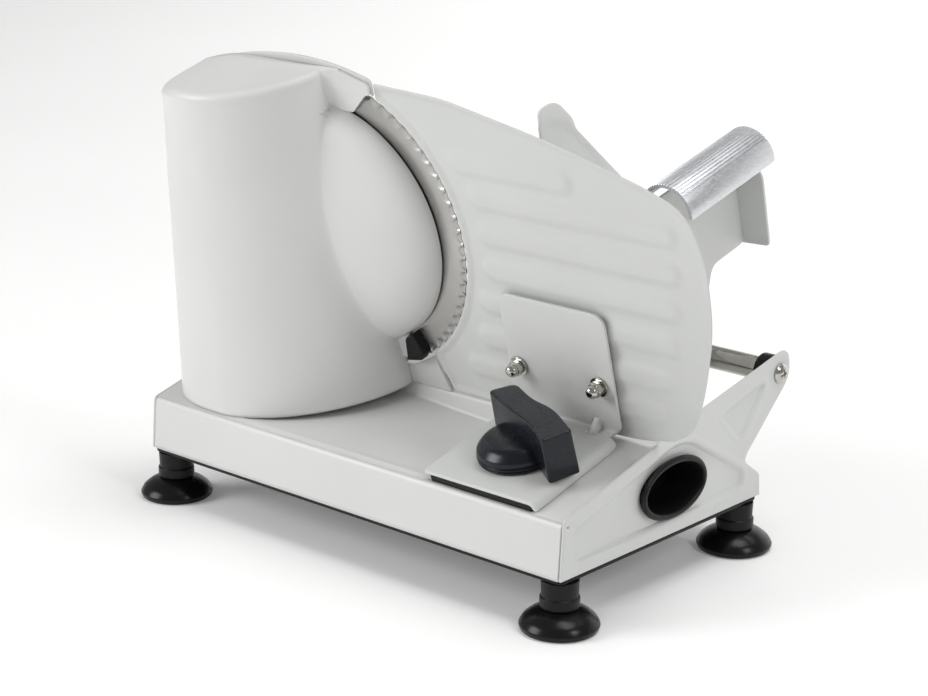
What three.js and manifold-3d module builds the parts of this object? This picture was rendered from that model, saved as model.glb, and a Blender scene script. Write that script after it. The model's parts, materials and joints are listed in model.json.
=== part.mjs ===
// Domestic deli meat slicer with a tilted blade head, a cam-driven gauge plate
// and a food carriage that slides on one round rod.
//
// Millimetres, +Z up. The machine stands on its four suction cups; +X runs along its long side,
// -Y is the side where slices fall, +Y is the side where the food is loaded.
//
// The head leans back by TILT. Head pieces are placed in a turned group whose axes are
//   x  along the machine,
//   n  square to the blade, towards the food,
//   u  in the blade's plane, upwards.

import * as THREE from 'three';
import { mergeVertices } from 'three/addons/utils/BufferGeometryUtils.js';
import Module from 'manifold-3d';

const wasm = await Module();
wasm.setup();

// ---------------------------------------------------------------- driving dimensions

const GAP = 0.3;                      // clearance between pieces that touch
const TILT = THREE.MathUtils.degToRad(15.15);

const BASE = { length: 329, width: 184, bottom: 31.5, wall: 2.5, topU: 85, ridgeN: 30 };
const PANEL = { thickness: 2.5, topU: 87.6 };
const FLOOR_PLATE = { bottom: 28.8, top: 31.2 };
const FOOT = { x: 154.7, y: 81, cupRadius: 22.6, stemRadius: 10.2 };

const BLADE = { x: -51.4, n: 14.3, u: 188.3, radius: 95, thickness: 1.4, teeth: 70, toothDepth: 2 };
const COVER = { radius: 78, backN: 12.6, wall: 2.5, flange: 2.2 };
const BACK_PLATE = { front: 12.9, back: 15.1, hole: 97 };
const GAUGE = { front: 14, back: 16.4, hole: 98, travel: 15, ribHeight: 1.2 };
const BRACKET = { left: 62, right: 143, front: -68, sheet: 2, topU: 91, wallFront: 10.2, wallBack: 12.4 };
const KNOB = { x: 102, n: -31, radius: 23.7, turn: 165 };
const CAM = { top: 88.4, bottom: 84.4, radius: 24.5, startRadius: 21, groove: 4.6 };

const ROD = { n: 130.3, u: 71.4, radius: 7 };
const TABLE = { left: -60, right: 110, front: 19.5, back: 140, bottomU: 90.5, topU: 93 };
const WALL = { x0: 108.5, x1: 110.3, front: 20.5 };
const GRIP = { x: 119.3, u: 180.7, radius: 17.3, sheet: 2.6, front: 104, back: 187 };

const WHEEL = { teeth: 40, pitchRadius: 30, n0: -10.8, n1: -5.2 };
const WORM = { rootRadius: 3.9, tipRadius: 6.4, centreDistance: 36 };
const MOTOR = { x: BLADE.x - WORM.centreDistance, n: (WHEEL.n0 + WHEEL.n1) / 2, radius: 20.2 };

const SWITCH = { y: 5.7, z: 59.5, halfWidth: 30, halfHeight: 18, floorX: 141 };

// ---------------------------------------------------------------- materials

const finish = (color, roughness, metalness) =>
  new THREE.MeshStandardMaterial({ color, roughness, metalness });

const PAINT = finish(0xd3d3d0, 0.45, 0.1);
const SHEET = finish(0xd0d0cc, 0.4, 0.2);
const BLACK = finish(0x161618, 0.5, 0);
const RUBBER = finish(0x101011, 0.8, 0);
const NAVY = finish(0x15171d, 0.4, 0);
const STEEL = finish(0xa9a9a6, 0.3, 0.9);
const CHROME = finish(0xd9d9d6, 0.12, 1);
const ALUMINIUM = finish(0xc3c5c6, 0.35, 0.9);
const BRASS = finish(0xb58f4c, 0.35, 0.9);
const COPPER = finish(0x9c5a34, 0.5, 0.8);
const NYLON = finish(0xe4e0d2, 0.6, 0);
const BOARD = finish(0x2f6b45, 0.7, 0);

// ---------------------------------------------------------------- geometry helpers

// Leaves only positions, joins equal vertices and drops triangles that have no area.
function weld(geometry) {
  const bare = new THREE.BufferGeometry();
  bare.setAttribute('position', geometry.getAttribute('position').clone());
  if (geometry.index) bare.setIndex(geometry.index.clone());
  const merged = mergeVertices(bare, 1e-4);
  const index = merged.index.array;
  const kept = [];
  for (let i = 0; i < index.length; i += 3) {
    const [a, b, c] = [index[i], index[i + 1], index[i + 2]];
    if (a !== b && b !== c && c !== a) kept.push(a, b, c);
  }
  merged.setIndex(kept);
  return merged;
}

function signedVolume(geometry) {
  const p = geometry.getAttribute('position');
  const index = geometry.index.array;
  const [a, b, c] = [new THREE.Vector3(), new THREE.Vector3(), new THREE.Vector3()];
  let sum = 0;
  for (let i = 0; i < index.length; i += 3) {
    a.fromBufferAttribute(p, index[i]);
    b.fromBufferAttribute(p, index[i + 1]);
    c.fromBufferAttribute(p, index[i + 2]);
    sum += a.dot(b.cross(c)) / 6;
  }
  return sum;
}

// A manifold solid from a closed geometry, turned to face out.
function solid(geometry) {
  const welded = weld(geometry);
  const triangles = Uint32Array.from(welded.index.array);
  if (signedVolume(welded) < 0) {
    for (let i = 0; i < triangles.length; i += 3) {
      [triangles[i + 1], triangles[i + 2]] = [triangles[i + 2], triangles[i + 1]];
    }
  }
  const vertices = Float32Array.from(welded.getAttribute('position').array);
  return new wasm.Manifold(new wasm.Mesh({ numProp: 3, vertProperties: vertices, triVerts: triangles }));
}

const join = (first, ...others) => others.reduce((sum, next) => sum.add(next), first);
const cut = (first, ...others) => others.reduce((rest, next) => rest.subtract(next), first);

function toGeometry(manifold) {
  const mesh = manifold.getMesh();
  const geometry = new THREE.BufferGeometry();
  geometry.setAttribute('position', new THREE.BufferAttribute(Float32Array.from(mesh.vertProperties), 3));
  geometry.setIndex(new THREE.BufferAttribute(Uint32Array.from(mesh.triVerts), 1));
  geometry.computeVertexNormals();
  return geometry;
}

// A closed outline through [a, b] points; a third value rounds that corner by so much,
// or by just under half of the shorter side next to it.
function outline(points) {
  const shape = new THREE.Shape();
  const count = points.length;
  points.forEach(([a, b, round = 0], i) => {
    const corner = new THREE.Vector2(a, b);
    const toBefore = new THREE.Vector2(...points[(i + count - 1) % count]).sub(corner);
    const toAfter = new THREE.Vector2(...points[(i + 1) % count]).sub(corner);
    const reach = Math.min(round, 0.48 * toBefore.length(), 0.48 * toAfter.length());
    const arrive = toBefore.setLength(reach).add(corner);
    const leave = toAfter.setLength(reach).add(corner);
    if (i === 0) shape.moveTo(arrive.x, arrive.y);
    else shape.lineTo(arrive.x, arrive.y);
    if (reach > 0) shape.quadraticCurveTo(a, b, leave.x, leave.y);
  });
  shape.closePath();
  return shape;
}

const rectangle = (a0, b0, a1, b1, r = 0) => outline([[a0, b0, r], [a1, b0, r], [a1, b1, r], [a0, b1, r]]);

function disc(a, b, radius) {
  const shape = new THREE.Shape();
  shape.absarc(a, b, radius, 0, 2 * Math.PI);
  return shape;
}

function ellipse(a, b, halfWidth, halfHeight) {
  const shape = new THREE.Shape();
  shape.absellipse(a, b, halfWidth, halfHeight, 0, 2 * Math.PI);
  return shape;
}

const extrude = (shape, depth, curveSegments) =>
  new THREE.ExtrudeGeometry(shape, { depth, curveSegments, bevelEnabled: false });

// The outline's plane and the direction it is pushed along:
// alongX takes (y, z) or (n, u), alongN takes (x, u), alongU takes (x, n) or (x, y).
function alongX(shape, x0, x1, segments = 3) {
  const turn = new THREE.Matrix4().makeBasis(
    new THREE.Vector3(0, 1, 0), new THREE.Vector3(0, 0, 1), new THREE.Vector3(1, 0, 0));
  return solid(extrude(shape, x1 - x0, segments).applyMatrix4(turn).translate(x0, 0, 0));
}

function alongN(shape, n0, n1, segments = 3) {
  return solid(extrude(shape, n1 - n0, segments).rotateX(Math.PI / 2).translate(0, n1, 0));
}

function alongU(shape, u0, u1, segments = 3) {
  return solid(extrude(shape, u1 - u0, segments).translate(0, 0, u0));
}

// Round solids from a profile of [radius, height] points that starts and ends on the axis,
// or closes on itself; the axis is X, N (Y) or U (Z) through the given point.
function lathe(profile, segments) {
  const points = profile.map(([r, h]) => new THREE.Vector2(r, h));
  return new THREE.LatheGeometry(points, segments);
}

const turnedAboutU = (profile, x, y, segments = 16) =>
  solid(lathe(profile, segments).rotateX(Math.PI / 2).translate(x, y, 0));

const turnedAboutN = (profile, x, u, segments = 16) =>
  solid(lathe(profile, segments).translate(x, 0, u));

const turnedAboutX = (profile, y, z, segments = 16) =>
  solid(lathe(profile, segments).rotateZ(-Math.PI / 2).translate(0, y, z));

const bar = (radius, from, to) => [[0, from], [radius, from], [radius, to], [0, to]];
const sleeve = (inner, outer, from, to) => [[inner, from], [outer, from], [outer, to], [inner, to], [inner, from]];

// A closed skin over rings of equal length, each ring a list of [x, n, u].
function loft(rings) {
  const size = rings[0].length;
  const positions = rings.flat(2);
  const index = [];
  for (let k = 0; k + 1 < rings.length; k += 1) {
    for (let i = 0; i < size; i += 1) {
      const a = k * size + i;
      const b = k * size + ((i + 1) % size);
      index.push(a, b, a + size, b, b + size, a + size);
    }
  }
  const last = (rings.length - 1) * size;
  for (let i = 1; i + 1 < size; i += 1) {
    index.push(0, i + 1, i);
    index.push(last, last + i, last + i + 1);
  }
  const geometry = new THREE.BufferGeometry();
  geometry.setAttribute('position', new THREE.Float32BufferAttribute(positions, 3));
  geometry.setIndex(index);
  return solid(geometry);
}

// Head coordinates (n, u) as a base point [y, z].
function fromHead(n, u) {
  return [n * Math.cos(TILT) - u * Math.sin(TILT), n * Math.sin(TILT) + u * Math.cos(TILT)];
}

function headSolid(manifold) {
  return solid(toGeometry(manifold).rotateX(TILT));
}

function place(group, name, manifold, material) {
  const mesh = new THREE.Mesh(toGeometry(manifold), material);
  mesh.name = name;
  group.add(mesh);
}

// ---------------------------------------------------------------- base

const FRONT_WALL_Y = -89.5;
const frontTopZ = (BASE.topU + FRONT_WALL_Y * Math.sin(TILT)) / Math.cos(TILT);

// The shell's cross-section, drawn in by an offset for its inner surface.
function baseProfile(inset, bottom) {
  const half = BASE.width / 2;
  const ridge = fromHead(BASE.ridgeN, BASE.topU - inset);
  return outline([
    [-half + inset, bottom],
    [FRONT_WALL_Y + inset, frontTopZ - inset, 5],
    [...ridge, 6],
    [half - 1.5 - inset, 45.5 - inset * 0.6, 4],
    [half - inset, bottom],
  ]);
}

// The shallow tray in the top that catches the slices, in head coordinates.
function trayTool(grow) {
  const section = outline([
    [-95, BASE.topU + 20],
    [-95, BASE.topU + 0.2 - grow, 4],
    [0, BASE.topU - 9 - grow, 26],
    [42, BASE.topU - 11 - grow, 12],
    [58 + grow, BASE.topU + 1, 2],
    [58 + grow, BASE.topU + 20],
  ]);
  return headSolid(alongN(section, -66 - grow, 11 + grow, 8));
}

function baseShell() {
  const end = BASE.length / 2 - PANEL.thickness - GAP;
  const outer = cut(alongX(baseProfile(0, BASE.bottom), -end, end), trayTool(0));
  const inner = cut(alongX(baseProfile(BASE.wall, BASE.bottom - 1), -end - 1, end + 1), trayTool(BASE.wall));
  const guideOpening = headSolid(join(
    alongU(rectangle(65.7, -67.8, 140.3, -3.4), 70, 95), alongU(rectangle(65.7, -76, 140.3, -60), 83, 95)));
  const wireOpening = headSolid(alongU(rectangle(-70, -36, -50, 4), 70, 95));
  const glandHole = turnedAboutN(bar(5.5, 80, 100), -120, 38.4, 12);
  return cut(outer, inner, guideOpening, wireOpening, glandHole);
}

// Both panels reach back in an arm that holds the rod; the left one stays under the housing's foot.
function endPanel(side) {
  const half = BASE.width / 2;
  const topU = side > 0 ? PANEL.topU : BASE.topU - GAP;
  const shape = outline([
    [-half, BASE.bottom],
    [FRONT_WALL_Y, (topU + FRONT_WALL_Y * Math.sin(TILT)) / Math.cos(TILT), 3],
    [...fromHead(24, topU), 8],
    [...fromHead(44, PANEL.topU), 8],
    [...fromHead(ROD.n + 12.5, ROD.u + 11.5), 11],
    [...fromHead(ROD.n + 10, ROD.u - 7), 8],
    [73.8, 57.3, 6],
    [half - 1, 45.4, 3],
    [half, BASE.bottom],
  ]);
  const inner = BASE.length / 2 - PANEL.thickness;
  const outer = BASE.length / 2;
  const [x0, x1] = side > 0 ? [inner, outer] : [-outer, -inner];
  const [rodY, rodZ] = fromHead(ROD.n, ROD.u);
  const plate = cut(alongX(shape, x0, x1), turnedAboutX(bar(3, x0 - 5, x1 + 5), rodY, rodZ, 16));
  if (side < 0) return plate;
  const hole = ellipse(SWITCH.y, SWITCH.z, SWITCH.halfWidth - 2.6, SWITCH.halfHeight - 2.6);
  return cut(plate, alongX(hole, x0 - 5, x1 + 5, 12));
}

function floorPlate() {
  const half = BASE.length / 2 - 1;
  const sheet = alongU(rectangle(-half, -BASE.width / 2 + 1, half, BASE.width / 2 - 1, 4),
    FLOOR_PLATE.bottom, FLOOR_PLATE.top);
  const holes = footPlaces.map(({ x, y }) => turnedAboutU(bar(5.2, 20, 40), x, y, 12));
  return cut(sheet, ...holes);
}

const footPlaces = [
  { name: 'front_right', x: FOOT.x, y: -FOOT.y },
  { name: 'front_left', x: -FOOT.x, y: -FOOT.y },
  { name: 'rear_right', x: FOOT.x, y: FOOT.y },
  { name: 'rear_left', x: -FOOT.x, y: FOOT.y },
];

const footStem = ({ x, y }) => turnedAboutU([
  [0, 12.3], [FOOT.stemRadius + 0.6, 12.3], [FOOT.stemRadius + 0.6, 18.5], [FOOT.stemRadius, 19],
  [12.6, 28.5], [4.8, 28.5], [4.8, 35], [0, 35],
], x, y, 12);

const suctionCup = ({ x, y }) => turnedAboutU([
  [0, 12], [8.4, 12], [FOOT.cupRadius, 4.4], [21.4, 0], [18.6, 0], [0, 7.4],
], x, y, 16);

// ---------------------------------------------------------------- blade housing

// The tower's section at its foot and near its top: sides, the x of its foremost line, and depth.
const TOWER = {
  foot: { u: 85, left: -167, crest: -105, right: -19, depth: 80, leftPower: 0.6, rightPower: 1.2 },
  head: { u: 270, left: -146, crest: -95, right: -37, depth: 60, leftPower: 0.85, rightPower: 1.05 },
  top: 287,
  crown: 6,
  crownInset: 6,
};

// One level of the tower: a D with its flat side on the back plane and a rounder right cheek.
function towerRing(u, inset, back) {
  const { foot, head: upper } = TOWER;
  const rise = (u - foot.u) / (upper.u - foot.u);
  const at = (key) => THREE.MathUtils.lerp(foot[key], upper[key], Math.min(rise, 1.05));
  const crown = THREE.MathUtils.clamp((u + inset - TOWER.top + TOWER.crown) / TOWER.crown, 0, 1);
  const drawIn = inset + TOWER.crownInset * (1 - Math.sqrt(1 - crown * crown));
  const ring = [];
  const steps = 20;
  for (let i = 0; i <= steps; i += 1) {
    const a = (Math.PI * i) / steps;
    const [c, s] = [Math.cos(a), Math.sin(a)];
    const power = c > 0 ? at('rightPower') : at('leftPower');
    const side = c > 0 ? at('right') - drawIn - at('crest') : at('crest') - at('left') - drawIn;
    const depth = at('depth') - drawIn;
    ring.push([at('crest') + side * Math.sign(c) * Math.abs(c) ** power, COVER.backN - depth * s ** power, u]);
  }
  if (back > COVER.backN) ring.push([at('left') + drawIn, back, u], [at('right') - drawIn, back, u]);
  return ring;
}

function tower(inset, bottom, back) {
  const top = TOWER.top - 0.2 - inset;
  const levels = [bottom, 180, TOWER.top - TOWER.crown - inset, 284 - inset, 286 - inset, top];
  return loft(levels.map((u) => towerRing(u, inset, back)));
}

// The bulge over the blade: a shallow dome on the blade's axis.
function dome(inset) {
  const profile = [[0, -15.3], [34, -14.3], [50, -10], [62, -4], [72, 3.5], [COVER.radius, 10]];
  const points = profile.map(([r, n]) => [Math.max(0, r - inset), n + inset]);
  const last = points[points.length - 1];
  return turnedAboutN([...points, [last[0], 20], [0, 20]], BLADE.x, BLADE.u, 36);
}

// Flanges of the housing that cover the ends of the blade's opening.
function coverFlanges() {
  const upper = outline([
    [-50, 240], [-50, 286], [-30, 287.5, 8], [-4.6, 281, 3], [-4.6, 275], [-8, 274.3], [-19.5, 263],
  ]);
  const lower = outline([[-50, 100], [-14, 104], [-12.8, 119.5], [-16.8, 122], [-50, 130]]);
  const sheets = [upper, lower].map((shape) => alongN(shape, COVER.backN - COVER.flange, COVER.backN));
  return cut(join(...sheets), alongN(disc(BLADE.x, BLADE.u, COVER.radius - 1), 0, 20, 20));
}

function motorHousing() {
  const outer = join(tower(0, BASE.topU + GAP, COVER.backN), dome(0), coverFlanges());
  const inner = join(tower(COVER.wall, BASE.topU - 6, 30), dome(COVER.wall));
  const behind = alongU(rectangle(-300, COVER.backN, 200, 60), 0, 400);
  return cut(outer, inner, behind);
}

function backPlate() {
  const shape = outline([
    [-166.5, BASE.topU + GAP], [12, BASE.topU + GAP], [2.4, 109], [-4.6, 272], [-4.6, 283, 3],
    [-30, 289.5, 12], [-60, 292, 16], [-100, 289, 20], [-146, 277, 8], [-149, 245, 10],
  ]);
  return cut(alongN(shape, BACK_PLATE.front, BACK_PLATE.back),
    alongN(disc(BLADE.x, BLADE.u, BACK_PLATE.hole), 0, 30, 24));
}

// Black corner piece that closes the lower end of the blade's opening.
const guardWedge = () => alongN(outline([
  [-12, 119.6, 2], [-5, 124.6, 1.5], [1.6, 111.4, 2], [-1.4, 107, 1.5], [-13.4, 104.6, 2],
]), 6.5, BACK_PLATE.front - GAP);

// Cast frame inside the housing that carries the blade's bearing.
function gearFrame() {
  const shape = rectangle(-79, 176, -14, 218, 8);
  const plate = alongN(shape, -3.5, 0);
  const boss = turnedAboutN(bar(14, -4.8, 8), BLADE.x, BLADE.u, 20);
  const bore = turnedAboutN(bar(9.3, -20, 20), BLADE.x, BLADE.u, 20);
  return cut(join(plate, boss), bore);
}

// ---------------------------------------------------------------- blade and drive

function bladeDisc() {
  const shape = new THREE.Shape();
  const step = (2 * Math.PI) / BLADE.teeth;
  for (let i = 0; i < BLADE.teeth; i += 1) {
    const profile = [[0, 0], [0.5, BLADE.toothDepth]];
    profile.forEach(([part, drop], k) => {
      const a = (i + part) * step;
      const r = BLADE.radius - drop;
      const [x, u] = [BLADE.x + r * Math.cos(a), BLADE.u + r * Math.sin(a)];
      if (i + k === 0) shape.moveTo(x, u);
      else shape.lineTo(x, u);
    });
  }
  shape.closePath();
  const half = BLADE.thickness / 2;
  const body = alongN(shape, BLADE.n - half, BLADE.n + half);
  return cut(body, alongN(disc(BLADE.x, BLADE.u, 8.4), 0, 30, 8));
}

const bladeShaft = () => turnedAboutN([
  [0, -12.2], [7, -12.2], [7, 9], [15, 9], [15, BLADE.n - 1], [8, BLADE.n - 1], [8, BLADE.n + 1], [3, BLADE.n + 1],
  [3, 2], [0, 2],
], BLADE.x, BLADE.u, 16);

const bladeBolt = () => cut(turnedAboutN([
  [0, 3], [2.6, 3], [2.6, BLADE.n + 1.3], [13, BLADE.n + 1.3], [12, 17.6], [0, 18.6],
], BLADE.x, BLADE.u, 18), alongU(rectangle(BLADE.x - 8, 17.2, BLADE.x + 8, 20), BLADE.u - 1, BLADE.u + 1));

function wormWheel() {
  const shape = new THREE.Shape();
  const step = (2 * Math.PI) / WHEEL.teeth;
  const [tip, root] = [WHEEL.pitchRadius + 1.4, WHEEL.pitchRadius - 1.4];
  const tooth = [[-0.11, tip], [0.11, tip], [0.26, root], [0.74, root]];
  for (let i = 0; i < WHEEL.teeth; i += 1) {
    tooth.forEach(([part, r], k) => {
      const a = (i + part) * step;
      const [x, u] = [BLADE.x + r * Math.cos(a), BLADE.u + r * Math.sin(a)];
      if (i + k === 0) shape.moveTo(x, u);
      else shape.lineTo(x, u);
    });
  }
  shape.closePath();
  const body = alongN(shape, WHEEL.n0, WHEEL.n1);
  return cut(body, turnedAboutN(bar(7.3, -30, 0), BLADE.x, BLADE.u, 16));
}

// The motor shaft with its worm: a cylinder whose radius rises along one right-hand thread.
function wormShaft() {
  const pitch = (2 * Math.PI * WHEEL.pitchRadius) / WHEEL.teeth;
  const [sides, perTurn, turns] = [10, 5, 6];
  const rings = [];
  const ringAt = (u, radiusAt) => {
    const ring = [];
    for (let i = 0; i < sides; i += 1) {
      const a = (2 * Math.PI * i) / sides;
      const r = radiusAt(a);
      ring.push([MOTOR.x + r * Math.cos(a), MOTOR.n + r * Math.sin(a), u]);
    }
    return ring;
  };
  const start = BLADE.u - (pitch * turns) / 2;
  rings.push(ringAt(86, () => 3), ringAt(start - 1, () => 3));
  for (let k = 0; k <= perTurn * turns; k += 1) {
    const along = (k * pitch) / perTurn;
    const thread = (a) => {
      const phase = (((along / pitch - a / (2 * Math.PI)) % 1) + 1) % 1;
      const crest = 1 - Math.min(1, Math.max(0, (Math.abs(phase - 0.5) - 0.1) / 0.17));
      const fade = k === 0 || k === perTurn * turns ? 0 : 1;
      return WORM.rootRadius + (WORM.tipRadius - WORM.rootRadius) * crest * fade;
    };
    rings.push(ringAt(start + along, thread));
  }
  const end = start + pitch * turns;
  rings.push(ringAt(end + 1, () => 3), ringAt(218, () => 3));
  return loft(rings);
}

function coolingFan() {
  const hub = turnedAboutU(sleeve(3.3, 8, 87, 93), MOTOR.x, MOTOR.n, 12);
  const blades = [];
  for (let i = 0; i < 7; i += 1) {
    const vane = new THREE.BoxGeometry(8.6, 1.6, 5.4).rotateX(0.55).translate(11, 0, 90);
    blades.push(solid(vane.rotateZ((2 * Math.PI * i) / 7).translate(MOTOR.x, MOTOR.n, 0)));
  }
  return join(hub, ...blades);
}

const armature = () => turnedAboutU([
  [3.3, 103], [9, 103], [9, 109], [16.4, 112], [16.4, 144], [3.3, 148], [3.3, 103],
], MOTOR.x, MOTOR.n, 16);

function motorCan() {
  const can = turnedAboutU(bar(MOTOR.radius, 100.3, 154), MOTOR.x, MOTOR.n, 20);
  const room = turnedAboutU(bar(MOTOR.radius - 2, 90, 151.5), MOTOR.x, MOTOR.n, 20);
  const neck = turnedAboutU(bar(4, 90, 200), MOTOR.x, MOTOR.n, 14);
  return cut(can, room, neck);
}

function motorEndBell() {
  const bell = turnedAboutU(bar(MOTOR.radius, 95.3, 100), MOTOR.x, MOTOR.n, 20);
  const vents = [0, 1, 2, 3].map((i) => {
    const a = Math.PI / 4 + (i * Math.PI) / 2;
    return turnedAboutU(bar(3.6, 90, 110), MOTOR.x + 12 * Math.cos(a), MOTOR.n + 12 * Math.sin(a), 8);
  });
  return cut(bell, turnedAboutU(bar(3.4, 90, 110), MOTOR.x, MOTOR.n, 14), ...vents);
}

const motorRing = () => turnedAboutU(sleeve(16, MOTOR.radius, BASE.topU + GAP, 95), MOTOR.x, MOTOR.n, 20);

// ---------------------------------------------------------------- gauge plate, bracket and knob

function gaugePlate() {
  const shape = outline([
    [-3.6, 280.8, 2], [47.6, 278.6, 12], [117, 264.8, 20], [181.6, 247.1, 14], [205.5, 237, 16],
    [214.7, 209, 16], [213.6, 170, 16], [203, 130.5, 16], [192.3, 103.9, 14], [178.7, 93, 12],
    [150, 87, 16], [100, 86.4, 4], [13.2, 86.4, 2], [3.6, 110],
  ]);
  const plate = cut(alongN(shape, GAUGE.front, GAUGE.back),
    alongN(disc(BLADE.x, BLADE.u, GAUGE.hole), 0, 30, 24));
  const ribs = [
    [46, 128, 52], [55, 194, 32], [58, 193, 9.5], [58, 190, -13], [50, 186, -35], [45, 178, -58.5], [32, 171, -80.5],
  ];
  const ridge = ([left, right, s]) => {
    const length = right - left - 8;
    const capsule = new THREE.CapsuleGeometry(4.5, length, 2, 8).rotateZ(Math.PI / 2);
    capsule.scale(1, GAUGE.ribHeight / 4.5, 1).translate((left + right) / 2, GAUGE.front, BLADE.u + s);
    return solid(capsule);
  };
  const holes = fastenerX.map((x) => turnedAboutN(bar(2.6, 0, 30), x, FASTENER_U, 10));
  return cut(join(plate, ...ribs.map(ridge)), ...holes);
}

const fastenerX = [74, 132];
const FASTENER_U = 119.4;

// The folded sheet that carries the gauge plate and slides on the base under the knob.
function gaugeBracket() {
  const { left, right, front, sheet, topU, wallFront, wallBack } = BRACKET;
  const floor = alongU(outline([
    [left, front, 2], [right, front, 2], [right, wallBack], [left, wallBack],
  ]), topU - sheet, topU);
  const lip = alongX(outline([
    [front, BASE.topU + GAP, 2], [wallBack - 4, BASE.topU + GAP, 2], [wallBack, topU], [front, topU],
  ]), right - sheet, right);
  const upright = alongN(outline([
    [66, topU - sheet], [right - 1, topU - sheet], [right - 1, 165, 8], [66, 165, 8],
  ]), wallFront, wallBack);
  const gusset = (x) => alongX(outline([[wallFront - 6, topU - 1], [wallFront + 1, topU - 1],
    [wallFront + 1, topU + 6]]), x - 2, x + 2);
  const slot = alongU(outline([
    [KNOB.x - 4.6, KNOB.n - 4.6, 3], [KNOB.x + 4.6, KNOB.n - 4.6, 3],
    [KNOB.x + 4.6, KNOB.n + GAUGE.travel + 6, 3], [KNOB.x - 4.6, KNOB.n + GAUGE.travel + 6, 3],
  ]), 80, 100);
  const holes = fastenerX.map((x) => turnedAboutN(bar(2.6, 0, 30), x, FASTENER_U, 10));
  const pinHole = turnedAboutU(bar(1.9, 80, 95), KNOB.x, KNOB.n + CAM.startRadius, 12);
  return cut(join(floor, lip, upright, gusset(82), gusset(132)), slot, pinHole, ...holes);
}

// The black tray under the bracket: it guides the bracket and holds the cam disc.
function gaugeGuide() {
  const flange = alongU(rectangle(66, -67.5, 140, -3.7), BASE.topU - 1.7, BRACKET.topU - BRACKET.sheet - GAP);
  const well = turnedAboutU(bar(CAM.radius + 2.4, 78.5, 86), KNOB.x, KNOB.n, 24);
  const room = turnedAboutU(bar(CAM.radius + 0.5, 82.2, 95), KNOB.x, KNOB.n, 24);
  const bore = turnedAboutU(bar(4.4, 70, 95), KNOB.x, KNOB.n, 12);
  const pinSlot = alongU(rectangle(KNOB.x - 2.6, KNOB.n, KNOB.x + 2.6, -9), 84, 95);
  return cut(join(flange, well), room, bore, pinSlot);
}

// Disc with a spiral groove: as it turns clockwise, the groove draws the follower pin towards its centre.
function camDisc() {
  const sweep = THREE.MathUtils.degToRad(KNOB.turn);
  const steps = 18;
  const side = (offset, k) => {
    const turn = (sweep * k) / steps;
    const middle = CAM.startRadius - (GAUGE.travel * k) / steps;
    const slant = Math.hypot(1, GAUGE.travel / sweep / middle);
    const r = middle + offset * slant;
    const a = Math.PI / 2 + turn;
    return [KNOB.x + r * Math.cos(a), KNOB.n + r * Math.sin(a)];
  };
  const outer = [];
  const inner = [];
  for (let k = -1; k <= steps + 1; k += 1) {
    outer.push(side(CAM.groove / 2, k));
    inner.unshift(side(-CAM.groove / 2, k));
  }
  const groove = alongU(outline([...outer, ...inner]), CAM.bottom + 1.2, CAM.top + 1);
  const [endX, endN] = side(0, steps);
  const pocket = turnedAboutU(bar(CAM.groove / 2, CAM.bottom + 1.2, CAM.top + 1), endX, endN, 16);
  const body = turnedAboutU(bar(CAM.radius, CAM.bottom, CAM.top), KNOB.x, KNOB.n, 24);
  return cut(body, groove, pocket, turnedAboutU(bar(4.3, 70, 95), KNOB.x, KNOB.n, 12));
}

const followerPin = () =>
  turnedAboutU(bar(1.6, CAM.bottom + 1.7, BRACKET.topU - 0.2), KNOB.x, KNOB.n + CAM.startRadius, 10);

// Drum with a long swept wing; its stem runs down through the bracket's slot to the cam disc.
function thicknessKnob() {
  const drum = turnedAboutU([
    [0, 79], [4, 79], [4, BRACKET.topU + 0.4], [KNOB.radius, BRACKET.topU + 0.4],
    [KNOB.radius, 98.5], [KNOB.radius - 2.5, 101.5], [0, 104],
  ], KNOB.x, KNOB.n, 24);
  const wing = alongU(outline([
    [76, -20.5, 4], [86, -7.5, 5], [106, -17.5, 14], [124, -20.5, 14], [146.5, -33.5, 3], [138.5, -50, 3],
    [121, -38.5, 14], [100, -31.5, 14],
  ]), BRACKET.topU + 2.5, 120.5);
  const hollow = turnedAboutU(bar(1.7, 70, 94), KNOB.x, KNOB.n, 10);
  return cut(join(drum, wing), hollow);
}

const knobScrew = () => turnedAboutU([
  [0, 75.6], [6, 75.6], [6, 78.2], [1.4, 78.2], [1.4, 92], [0, 92],
], KNOB.x, KNOB.n, 10);

const gaugeScrew = (x) => turnedAboutN([
  [0, 4], [2.2, 4], [2.2, GAUGE.back + 0.3], [4.6, GAUGE.back + 0.3], [4, GAUGE.back + 1.8], [0, GAUGE.back + 1.8],
], x, FASTENER_U, 10);

const washer = (x) => turnedAboutN(sleeve(2.5, 6, BRACKET.wallFront - 1.3, BRACKET.wallFront - 0.3),
  x, FASTENER_U, 12);

function acornNut(x) {
  const seat = BRACKET.wallFront - 1.6;
  const hexagon = new THREE.Shape();
  for (let i = 0; i < 6; i += 1) {
    const a = (Math.PI * i) / 3;
    const [px, pu] = [x + 4.6 * Math.cos(a), FASTENER_U + 4.6 * Math.sin(a)];
    if (i === 0) hexagon.moveTo(px, pu);
    else hexagon.lineTo(px, pu);
  }
  hexagon.closePath();
  const hex = alongN(hexagon, seat - 4.2, seat);
  const cap = turnedAboutN([
    [0, seat - 9], [2, seat - 8.4], [3.6, seat - 6], [3.8, seat - 3], [0, seat - 3],
  ], x, FASTENER_U, 10);
  return cut(join(hex, cap), turnedAboutN(bar(2.5, seat - 5.5, seat + 2), x, FASTENER_U, 8));
}

// ---------------------------------------------------------------- rod and carriage

const slideRod = () => {
  const half = BASE.length / 2 - PANEL.thickness - GAP;
  const bore = (x0, x1) => turnedAboutX(bar(2.7, x0, x1), ROD.n, ROD.u, 8);
  return cut(turnedAboutX(bar(ROD.radius, -half, half), ROD.n, ROD.u),
    bore(-half - 1, -half + 14), bore(half - 14, half + 1));
};

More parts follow.
